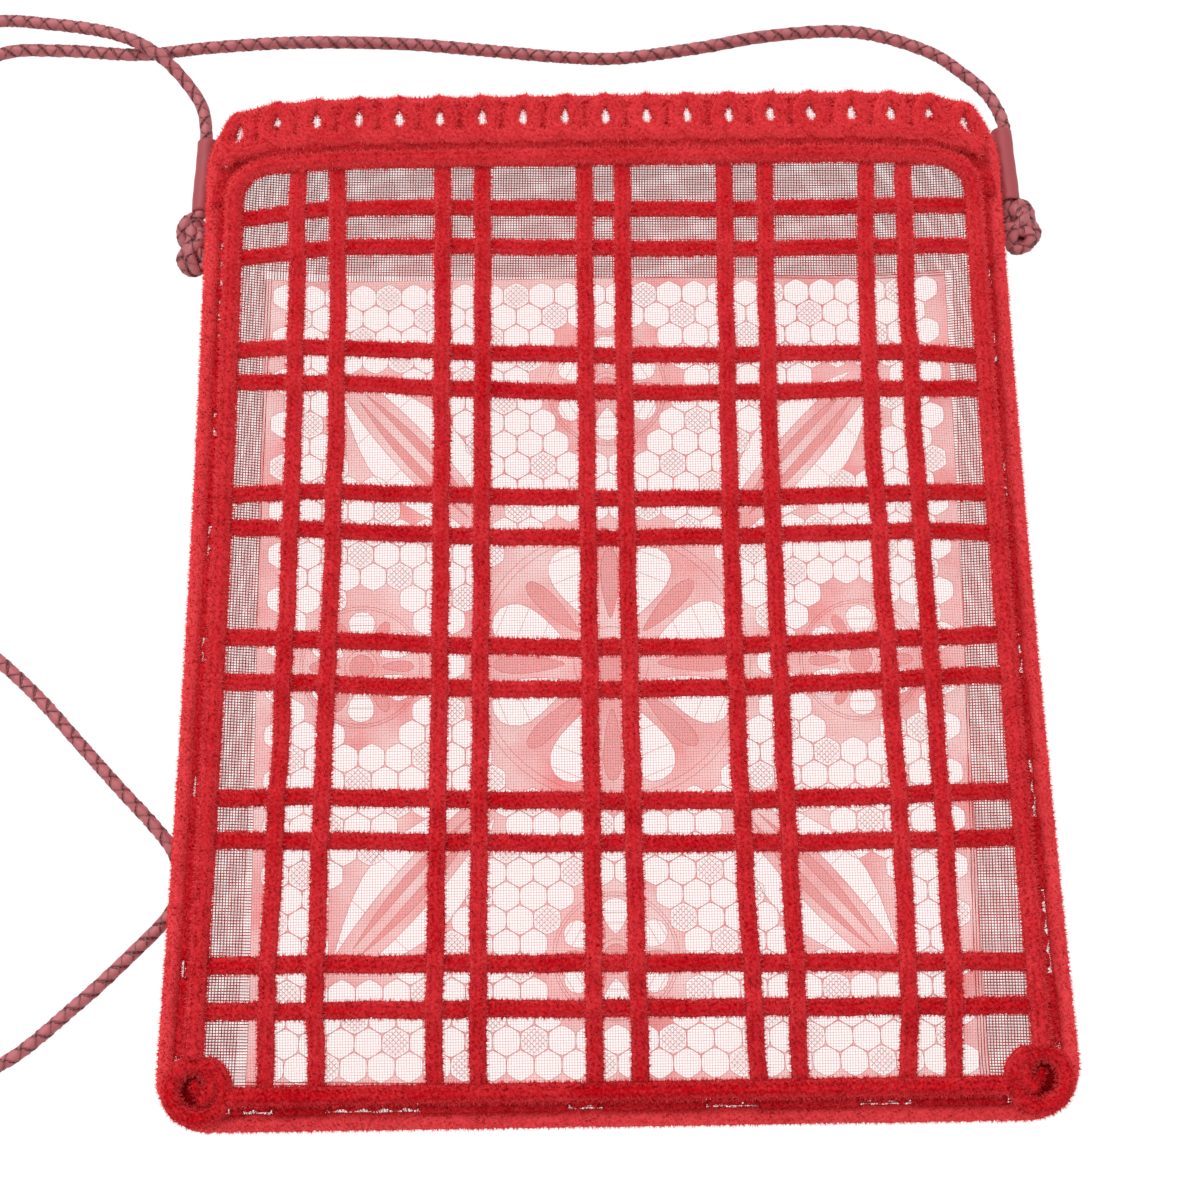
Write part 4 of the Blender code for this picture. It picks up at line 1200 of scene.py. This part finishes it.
def inner_frame():
    """The inner border cord, with the low pile between it and the seam."""
    radius = FRAME_CORD / 2.0
    coil_x, coil_y = coil_centre()
    corner_y = FRAME_TOP_Y - FRAME_CORNER
    y = np.linspace(coil_y + COIL_MIDDLE, corner_y, 120)
    side = np.stack([frame_x(y), y], axis=1)
    corner_x = frame_x(corner_y) - FRAME_CORNER
    corner = arc(corner_x, corner_y, FRAME_CORNER, 4.0, 90.0, 10)
    top = np.array([[corner_x * 0.6, FRAME_TOP_Y], [corner_x * 0.2, FRAME_TOP_Y]])
    plan = mirrored(np.vstack([side, corner, top]))
    plan = evenly(np.column_stack([plan, np.zeros(len(plan))]), BODY_STEP)
    line = laid(plan[:, 0], plan[:, 1], radius)
    sides, foot = gap_pile()
    border = pile_cord(line, FRAME_CORD, FRAME_CORD, 83, shadow=FRAME_SHADOW)
    velour("frame_cord", [border, *sides], ["frame_cord"])
    end = coil_x - COIL_MIDDLE
    x = np.linspace(end, -end, 100)
    line = laid(x, np.full(100, FRAME_FOOT_Y), radius)
    velour("frame_foot_cord", [pile_cord(line, FRAME_CORD, FRAME_CORD, 84), *foot], ["frame_foot_cord"])


def coil_part(x, y, width, height, seed, shadow, side, lift=0.0):
    """One round of a coil, laid on the net and over the seam cord."""
    line = laid(x, y, height / 2.0)
    arc_y = SEAM_FOOT_Y + FOOT_CORNER
    arc_x = half_width(arc_y) - FOOT_CORNER
    inside = np.where(
        (y < arc_y) & (x > arc_x),
        FOOT_CORNER - np.hypot(x - arc_x, y - arc_y),
        np.minimum(half_width(y) - x, y - SEAM_FOOT_Y),
    )
    apart = (SEAM_CORD + height) / 2.0
    over = SEAM_Z + np.sqrt(np.maximum(0.0, apart * apart - inside * inside))
    line[:, 2] = np.maximum(line[:, 2], over) + lift
    line[:, 0] *= side
    return pile_cord(line, width, height, seed, -35.0, 215.0, FURROW * 0.7, shadow)


def coil_pit(centre_x, centre_y, radius, seed, shadow, side):
    """The pile at the bottom of a coil, on a small disc; disc and pile are painted shade that makes a dark
    pit.
    """
    rng = np.random.default_rng(seed)
    turn = np.linspace(0.0, 2.0 * math.pi, 24, endpoint=False)
    reach = np.repeat(np.array([0.34, 0.67, 1.0]) * radius, 24)
    x = np.concatenate([[centre_x], centre_x + reach * np.tile(np.cos(turn), 3)])
    y = np.concatenate([[centre_y], centre_y + reach * np.tile(np.sin(turn), 3)])
    floor_z = 0.5 * MM
    verts = np.stack([side * x, y, on_front(x, y) + floor_z], axis=1)
    ring = np.arange(24)
    onward = (ring + 1) % 24
    tris = [np.stack([np.zeros(24, int), 1 + ring, 1 + onward], 1)]
    for k in (0, 24):
        tris.append(np.stack([1 + k + ring, 25 + k + ring, 25 + k + onward], 1))
        tris.append(np.stack([1 + k + ring, 25 + k + onward, 1 + k + onward], 1))
    # The disc is a dark sheet of painted shade at the pit's bottom
    cloth = (verts, np.vstack(tris), np.full(len(verts), 0.1 - shadow))
    count = int(math.pi * (radius / MM) ** 2 * PILE_DENSITY)
    share = radius * np.sqrt(rng.uniform(0.0, 1.0, count))
    angle = rng.uniform(0.0, 2.0 * math.pi, count)
    x = centre_x + share * np.cos(angle)
    y = centre_y + share * np.sin(angle)
    root = np.stack([side * x, y, on_front(x, y) + floor_z - 0.1 * MM], axis=1)
    lean = unit(np.array([0.0, 0.0, 1.0]) + 0.55 * rng.standard_normal((count, 3)))
    wide = unit(np.cross(lean, rng.standard_normal((count, 3)))) * PILE_ROOT
    tips = root + lean * (PILE * rng.uniform(0.5, 1.2, count))[:, None]
    fibres = np.stack([root - wide, root + wide, tips], axis=1).reshape(-1, 3)
    shade = rng.uniform(0.0, 1.0, count)
    base = 0.10 + 0.3 * shade - shadow
    layer = np.stack([base, base, base + 0.3], axis=1).ravel()
    return joined([cloth, (fibres, np.arange(3 * count).reshape(-1, 3), layer)])


def coils():
    """A round of cord on each foot corner, wound inwards round a ridge in a pit darkened with painted shade.
    """
    centre_x, centre_y = coil_centre()
    for side, tag in ((1.0, "right"), (-1.0, "left")):
        turn = np.linspace(0.0, 2.0 * math.pi * 1.45, 110)
        inward = ease((turn - 2.0 * math.pi * 0.86) / (2.0 * math.pi * 0.5))
        radius = COIL_MIDDLE + (COIL_HEART - COIL_MIDDLE) * inward
        angle = math.radians(108) + turn
        seed = 90 + int(side)
        parts = [
            coil_part(
                centre_x + radius * np.cos(angle),
                centre_y + radius * np.sin(angle),
                COIL_CORD + 0.5 * MM,
                COIL_CORD,
                seed,
                0.0,
                side,
            )
        ]
        parts.append(coil_pit(centre_x, centre_y, COIL_MIDDLE, seed + 10, PIT_SHADOW, side))
        share = np.linspace(-1.0, 1.0, 14)
        x = centre_x + 0.9 * MM * share
        y = centre_y + 2.6 * MM * share
        parts.append(coil_part(x, y, 2.2 * MM, 2.6 * MM, seed + 20, RIDGE_SHADOW, side, 0.5 * MM))
        velour(f"corner_coil_{tag}", parts, [f"corner_coil_{tag}"])


# Where each loop's eye lies across the mouth, in mm
EYES = np.array(
    [-96.6, -86.2, -75.5, -64.2, -53.6, -43.0, -31.7, -21.1, -9.9, 0.7]
    + [11.5, 22.2, 33.2, 44.1, 54.7, 65.5, 76.0, 86.7, 96.1]
)


def mouth_droop(x):
    """How far the mouth's edge drops towards its rounded corners."""
    return MOUTH_DROOP * np.clip((np.abs(x) - MOUTH_DROOP_FROM) / MOUTH_DROOP_SPAN, 0.0, 1.0) ** 2


def mouth_trim():
    """One cord laid in crossing loops along the mouth, and the straight cord under them."""
    eyes = EYES * MM
    span = np.interp(
        np.arange(LOOP_COUNT * LOOP_SAMPLES + 1) / LOOP_SAMPLES - 0.5,
        np.arange(-1, LOOP_COUNT + 1),
        np.concatenate([[eyes[0] - LOOP_PITCH], eyes, [eyes[-1] + LOOP_PITCH]]),
    )
    turn = 2.0 * math.pi * np.arange(LOOP_COUNT * LOOP_SAMPLES + 1) / LOOP_SAMPLES
    x = span + LOOP_SWING * np.sin(turn) + LOOP_SLIM * np.sin(2.0 * turn)
    x = np.clip(x, -LOOP_LIMIT, LOOP_LIMIT)
    middle_y = LOOP_CREST_Y - LOOP_FALL / 2.0
    y = middle_y - LOOP_FALL / 2.0 * np.cos(turn) - mouth_droop(x)
    line = laid(x, y, LOOP_CORD / 2.0)
    low = np.clip(np.cos(turn), 0.0, 1.0)
    line[:, 2] += LOOP_LIFT * low - LOOP_CROSSING * np.sin(turn) * low
    loops = pile_cord(line, LOOP_CORD + 0.2 * MM, LOOP_CORD, 95, shadow=LOOP_SHADOW)
    reach = half_span(np.array(LOOP_CREST_Y - 3.6 * MM), 3.0 * MM)
    x = np.linspace(-reach, reach, 150)
    y = LOOP_CREST_Y - 0.2 * MM - mouth_droop(x) * 0.8
    line = laid(x, y, 1.0 * MM)
    behind = pile_cord(line, 3.4 * MM, 2.6 * MM, 98, -20.0, 200.0, 0.0, BEHIND_SHADOW)
    between = []
    for k, middle in enumerate(0.5 * (eyes[1:] + eyes[:-1])):
        y = np.linspace(LOOP_CREST_Y - LOOP_FALL, LOOP_CREST_Y - 0.5 * MM, 20) - mouth_droop(middle)
        line = laid(np.full(20, middle), y, 1.2 * MM)
        between.append(pile_cord(line, 5.2 * MM, 2.4 * MM, 700 + k, 0.0, 180.0, 0.0, BETWEEN_SHADOW))
    velour("loop_trim", [loops, behind, *between], ["loop_trim"])
    reach = half_width(BASE_CORD_Y) - SEAM_CORD * 0.6
    x = np.linspace(-reach, reach, 120)
    line = laid(x, BASE_CORD_Y + wander(96, BAR_WANDER, x), BASE_CORD / 2.0)
    cord = pile_cord(line, BASE_CORD + 0.4 * MM, BASE_CORD, 96, shadow=BASE_SHADOW)
    velour("loop_base_cord", [cord], ["loop_base_cord"])
    radius = BACK_HEM_CORD / 2.0
    reach = half_span(BACK_HEM_Y, NET_INSET + radius)
    x = reach * np.sin(0.5 * math.pi * np.linspace(-1.0, 1.0, 90))
    y = np.full(90, BACK_HEM_Y)
    line = np.stack([x, y, back_z(x, y) + radius + FACET_ROOM], axis=1)
    cord = pile_cord(line, BACK_HEM_CORD, BACK_HEM_CORD, 97, -30.0, 210.0)
    velour("back_hem_cord", [cord], ["back_hem_cord"])


lattice()
seam()
inner_frame()
coils()
mouth_trim()


# Net

FRONT_PITCH = 0.66 * MM
FRONT_THREAD = 0.050 * MM
BACK_PITCH = 0.72 * MM
BACK_THREAD = 0.135 * MM


def threads(lines, radius):
    """Three-sided threads along many lines at once: lines is (threads, points, 3)."""
    count, points, _ = lines.shape
    ahead = unit(np.gradient(lines, axis=1))
    side = unit(np.cross(ahead, (0.0, 0.0, 1.0)))
    up = np.cross(side, ahead)
    around = np.radians([90.0, 210.0, 330.0])
    rings = lines[:, :, None, :] + radius * (
        np.cos(around)[None, None, :, None] * side[:, :, None, :]
        + np.sin(around)[None, None, :, None] * up[:, :, None, :]
    )
    verts = rings.reshape(-1, 3)
    first = (np.arange(count)[:, None, None] * points + np.arange(points - 1)[None, :, None]) * 3
    j = np.arange(3)[None, None, :]
    a = (first + j).ravel()
    b = (first + (j + 1) % 3).ravel()
    return verts, np.vstack([np.stack([a, b, b + 3], 1), np.stack([a, b + 3, a + 3], 1)])


def net_panel(height, low, high, inset, turn, hole, steps, pitch, radius):
    """Crossed threads on a panel, left out of a hole. turn tilts the weave a little, in radians."""
    ys = np.arange(low, high, pitch)
    strips = []
    unit_steps = np.sin(0.5 * math.pi * np.linspace(-1.0, 1.0, steps))
    for y in ys:
        half = float(half_span(np.array(y), inset))
        spans = [(-half, half)]
        if hole and hole[2] < y < hole[3]:
            spans = [(-half, hole[0]), (hole[1], half)]
        for a, b in spans:
            x = a + (b - a) * (unit_steps + 1.0) / 2.0
            strips.append(np.stack([x, y + turn * x, np.zeros_like(x)], axis=1))
    fine = np.linspace(low, high, 500)
    reach = half_span(fine, inset)
    widest = float(reach.max())
    for x in np.arange(-widest + pitch / 2.0, widest, pitch):
        inside = fine[reach > abs(x)]
        if len(inside) < 8:
            continue
        spans = [(inside[0], inside[-1])]
        if hole and hole[0] < x < hole[1]:
            spans = [(inside[0], hole[2]), (hole[3], inside[-1])]
        for a, b in spans:
            y = a + (b - a) * (unit_steps + 1.0) / 2.0
            strips.append(np.stack([x - turn * y, y, np.zeros_like(y)], axis=1))
    lines = np.array(strips)
    lines[..., 1] = np.clip(lines[..., 1], low, high)
    span = half_span(lines[..., 1], inset)
    lines[..., 0] = np.clip(lines[..., 0], -span, span)
    lines[..., 2] = height(lines[..., 0], lines[..., 1]) + NET / 2.0
    return threads(lines, radius)


def nets():
    """The front net, and the back net round the lace's opening."""
    low = SEAM_FOOT_Y + NET_INSET
    verts, tris = net_panel(front_z, low, NET_MOUTH_Y, NET_INSET, 0.004, None, 20, FRONT_PITCH, FRONT_THREAD)
    front = piece("front_net_threads", verts, tris, FRONT_NET, "net", None, ["front_net"])
    hole = (-LACE_HALF_WIDTH, LACE_HALF_WIDTH, LACE_FOOT_Y, LACE_MOUTH_Y)
    high = BACK_HEM_Y - BACK_HEM_CORD / 2.0 - CLEARANCE
    verts, tris = net_panel(back_z, low, high, NET_INSET, -0.022, hole, 9, BACK_PITCH, BACK_THREAD)
    back = piece("back_net_threads", verts, tris, BACK_NET, "net", None, ["back_net"])


nets()


# Lace


def flower_gaps(centre_x, centre_y, radius, petals):
    """Drop-shaped gaps between the petals of a round flower."""
    gaps = []
    width = math.pi / petals * 0.66
    for k in range(petals):
        angle = 2.0 * math.pi * (k + 0.5) / petals
        outline = []
        for t in np.linspace(0.0, 2.0 * math.pi, 20, endpoint=False):
            reach = 0.66 - 0.30 * math.cos(t)
            turn = width * math.sin(t) * (0.75 + 0.25 * (reach - 0.35) / 0.58)
            x = centre_x + radius * reach * math.cos(angle + turn)
            y = centre_y + radius * reach * math.sin(angle + turn)
            outline.append((x, y))
        gaps.append(outline)
    return gaps


def flower_petals(centre_x, centre_y, radius, petals):
    """The dense petals between those gaps, and the flower's dense heart."""
    shapes = []
    width = math.pi / petals * 0.27
    for k in range(petals):
        angle = 2.0 * math.pi * k / petals
        outline = []
        for t in np.linspace(0.0, 2.0 * math.pi, 18, endpoint=False):
            reach = 0.62 - 0.27 * math.cos(t)
            turn = width * math.sin(t)
            x = centre_x + radius * reach * math.cos(angle + turn)
            y = centre_y + radius * reach * math.sin(angle + turn)
            outline.append((x, y))
        shapes.append(outline)
    shapes.append([tuple(p) for p in arc(centre_x, centre_y, radius * 0.2, 0.0, 345.0, 24)])
    return shapes


def along_leaf(side_x, side_y, share, out):
    """A place in one quarter's leaf: share of its length from its middle, and distance off its vein."""
    lean = math.atan2(side_y * LEAF_OUT_Y, side_x * LEAF_OUT_X)
    length = share * LEAF_LENGTH
    x = side_x * LEAF_OUT_X + length * math.cos(lean) - out * math.sin(lean)
    y = LACE_MIDDLE_Y + side_y * LEAF_OUT_Y + length * math.sin(lean) + out * math.cos(lean)
    return x, y


def leaf_gaps(side_x, side_y):
    """Two slim gaps that leave a leaf, lying along the diagonal of one quarter."""
    gaps = []
    for flank in (-1, 1):
        outline = []
        for t in np.linspace(0.0, 2.0 * math.pi, 24, endpoint=False):
            share = -0.5 * math.cos(t)
            bow = math.cos(math.pi * share)
            far = 0.45 + 0.66 * bow + 0.42 * math.sin(t) * (0.3 + 0.7 * bow)
            outline.append(along_leaf(side_x, side_y, share, flank * far * LEAF_WIDTH / 2.0))
        gaps.append(outline)
    return gaps


def leaf_halves(side_x, side_y):
    """The two dense halves of a leaf, either side of its vein."""
    shapes = []
    for flank in (-1, 1):
        outline = []
        for t in np.linspace(0.0, 2.0 * math.pi, 20, endpoint=False):
            share = -0.42 * math.cos(t)
            bow = math.cos(math.pi * share)
            far = 0.10 + 0.20 * bow + 0.15 * math.sin(t) * bow
            outline.append(along_leaf(side_x, side_y, share, flank * far * LEAF_WIDTH / 2.0))
        shapes.append(outline)
    return shapes


def flowers():
    """Each flower of the lace: its middle, radius and number of petals."""
    found = [(0.0, LACE_MIDDLE_Y, MEDALLION_RADIUS, MEDALLION_PETALS)]
    for side in (-1, 1):
        found.append((side * FLOWER_OUT_X, LACE_MIDDLE_Y, FLOWER_RADIUS, FLOWER_PETALS))
        found.append((0.0, LACE_MIDDLE_Y + side * FLOWER_OUT_Y, FLOWER_RADIUS, FLOWER_PETALS))
    return found


HONEYCOMB_PITCH = 6.8 * MM
HONEYCOMB_BAR = 0.72 * MM
HONEYCOMB_EDGE = 4.6 * MM
OUTLINE_THREAD = 0.08 * MM
FINE_THREAD = 0.07 * MM


def near_motif(x, y):
    """True where a honeycomb gap would run into a flower or a leaf."""
    for centre_x, centre_y, radius, _ in flowers():
        if math.hypot(x - centre_x, y - centre_y) < radius * 1.03 + HONEYCOMB_PITCH * 0.52:
            return True
    far_x = abs(x) - LEAF_OUT_X
    far_y = abs(y - LACE_MIDDLE_Y) - LEAF_OUT_Y
    lean = math.atan2(LEAF_OUT_Y, LEAF_OUT_X)
    lengthwise = far_x * math.cos(lean) + far_y * math.sin(lean)
    crosswise = far_y * math.cos(lean) - far_x * math.sin(lean)
    reach = math.hypot(lengthwise / (LEAF_LENGTH * 0.5), crosswise / (LEAF_WIDTH * 0.72))
    return reach < 1.0 + HONEYCOMB_PITCH / LEAF_LENGTH * 1.5


def honeycomb():
    """Centres of the ground's six-sided gaps, and whether each has a thread filling."""
    rise = HONEYCOMB_PITCH * math.sqrt(0.75)
    out_x = int(LACE_HALF_WIDTH / HONEYCOMB_PITCH) + 1
    half_height = (LACE_MOUTH_Y - LACE_FOOT_Y) / 2.0
    out_y = int(half_height / rise)
    for i in range(-out_y, out_y + 1):
        for j in range(-out_x, out_x + 1):
            x = (j + 0.5 * (i % 2)) * HONEYCOMB_PITCH
            y = i * rise
            if abs(x) > LACE_HALF_WIDTH - HONEYCOMB_EDGE or abs(y) > half_height - HONEYCOMB_EDGE:
                continue
            if not near_motif(x, LACE_MIDDLE_Y + y):
                yield x, LACE_MIDDLE_Y + y, (j + 2 * i) % 5 == 0


def honeycomb_gap(x, y):
    """A six-sided gap with rounded corners."""
    radius = (HONEYCOMB_PITCH - HONEYCOMB_BAR) / math.sqrt(3.0)
    outline = []
    for t in np.radians(np.arange(0.0, 360.0, 20.0) + 30.0):
        pull = 1.0 - 0.05 * math.cos(6.0 * t)
        outline.append((x + radius * pull * math.cos(t), y + radius * pull * math.sin(t)))
    return outline


def on_back(x, y):
    """Height of the lace's middle, in the back."""
    return back_z(x, y) + NET / 2.0


def cut_cloth(outlines, edge_x, edge_y):
    """The lace's outline, cut along all outlines: its points, triangles and each triangle's outlines."""
    coords, faces = [], []
    for outline in outlines:
        ring = np.array(outline)
        onward = np.roll(ring, -1, axis=0)
        if (ring[:, 0] * onward[:, 1] - ring[:, 1] * onward[:, 0]).sum() < 0.0:
            ring = ring[::-1]
        faces.append(list(range(len(coords), len(coords) + len(ring))))
        coords += [Vector(p) for p in ring]
    for x in edge_x[1:-1]:
        for y in edge_y[1:-1]:
            coords.append(Vector((x, y)))
    found = delaunay_2d_cdt(coords, [], faces, 0, 1e-7)
    plan = np.array([(p.x, p.y) for p in found[0]])
    return np.column_stack([plan, on_back(plan[:, 0], plan[:, 1])]), found[2], found[5]


def thread_tubes(cords):
    """Three-sided threads along flat lines, each (points, radius), laid on the back."""
    parts = []
    turn = np.radians([90.0, 210.0, 330.0])
    for plan, radius in cords:
        line = np.column_stack([plan, on_back(plan[:, 0], plan[:, 1])])
        _, side, up = upright(line)
        rings = line[:, None, :] + radius * (
            np.cos(turn)[None, :, None] * side[:, None, :] + np.sin(turn)[None, :, None] * up[:, None, :]
        )
        verts, tris = skin(rings)
        parts.append((verts, tris, np.zeros(len(verts))))
    return joined(parts)


def bridles(outline, step, radius):
    """Threads that cross a gap from side to side."""
    ring = np.array(outline)
    count = len(ring)
    for k in range(step, count // 2, step):
        yield np.linspace(ring[k], ring[-k], 4), radius


def grid_filling(x, y, radius):
    """A fine thread grid across one honeycomb gap."""
    reach = (HONEYCOMB_PITCH - HONEYCOMB_BAR) / 2.0
    for share in (-0.66, -0.33, 0.0, 0.33, 0.66):
        half = reach * math.sqrt(1.0 - share * share)
        for lean in (math.pi / 4.0, -math.pi / 4.0):
            ahead = np.array([math.cos(lean), math.sin(lean)])
            middle = np.array([x, y]) + share * reach * np.array([-ahead[1], ahead[0]])
            yield np.linspace(middle - half * ahead, middle + half * ahead, 3), radius


def lace():
    """The lace: sheer cloth with gaps, dense figures, and stitching along every edge."""
    edge_x = np.linspace(-LACE_HALF_WIDTH, LACE_HALF_WIDTH, 31)
    edge_y = np.linspace(LACE_FOOT_Y, LACE_MOUTH_Y, 35)
    outer = [(x, LACE_FOOT_Y) for x in edge_x[:-1]] + [(LACE_HALF_WIDTH, y) for y in edge_y[:-1]]
    outer += [(x, LACE_MOUTH_Y) for x in edge_x[:0:-1]] + [(-LACE_HALF_WIDTH, y) for y in edge_y[:0:-1]]
    big, figures = [], []
    for flower in flowers():
        big += flower_gaps(*flower)
        figures += flower_petals(*flower)
    for side_x in (-1, 1):
        for side_y in (-1, 1):
            big += leaf_gaps(side_x, side_y)
            figures += leaf_halves(side_x, side_y)
    cells = list(honeycomb())
    ground = [honeycomb_gap(x, y) for x, y, _ in cells]
    gaps = big + ground
    verts, triangles, belongs = cut_cloth([outer] + gaps + figures, edge_x, edge_y)
    first_figure = 1 + len(gaps)
    sheer, dense = [], []
    for triangle, owners in zip(triangles, belongs):
        inner = [owner for owner in owners if owner != 0]
        if not inner and len(owners):
            sheer.append(triangle)
        elif inner and min(inner) >= first_figure:
            dense.append(triangle)
    cloth = piece("lace_cloth", verts, np.array(sheer), SHEER, "lace", None, ["lace_panel"])
    shapes = piece("lace_figures", verts, np.array(dense), FIGURE, "lace")

    cords = [(np.array(ring + ring[:1]), OUTLINE_THREAD) for ring in [outer] + gaps]
    cords += [(np.array(ring + ring[:1]), FINE_THREAD) for ring in figures]
    for outline in big:
        cords += bridles(outline, 2, FINE_THREAD)
    for x, y, filled in cells:
        if filled:
            cords += grid_filling(x, y, FINE_THREAD)
    for centre_x, centre_y, radius, _ in flowers():
        for reach in (0.28, 1.0, 1.05):
            cords.append((arc(centre_x, centre_y, radius * reach, 0.0, 360.0, 48), OUTLINE_THREAD))
    stitching = piece("lace_stitching", *thread_tubes(cords)[:2], STITCH, "lace")


lace()
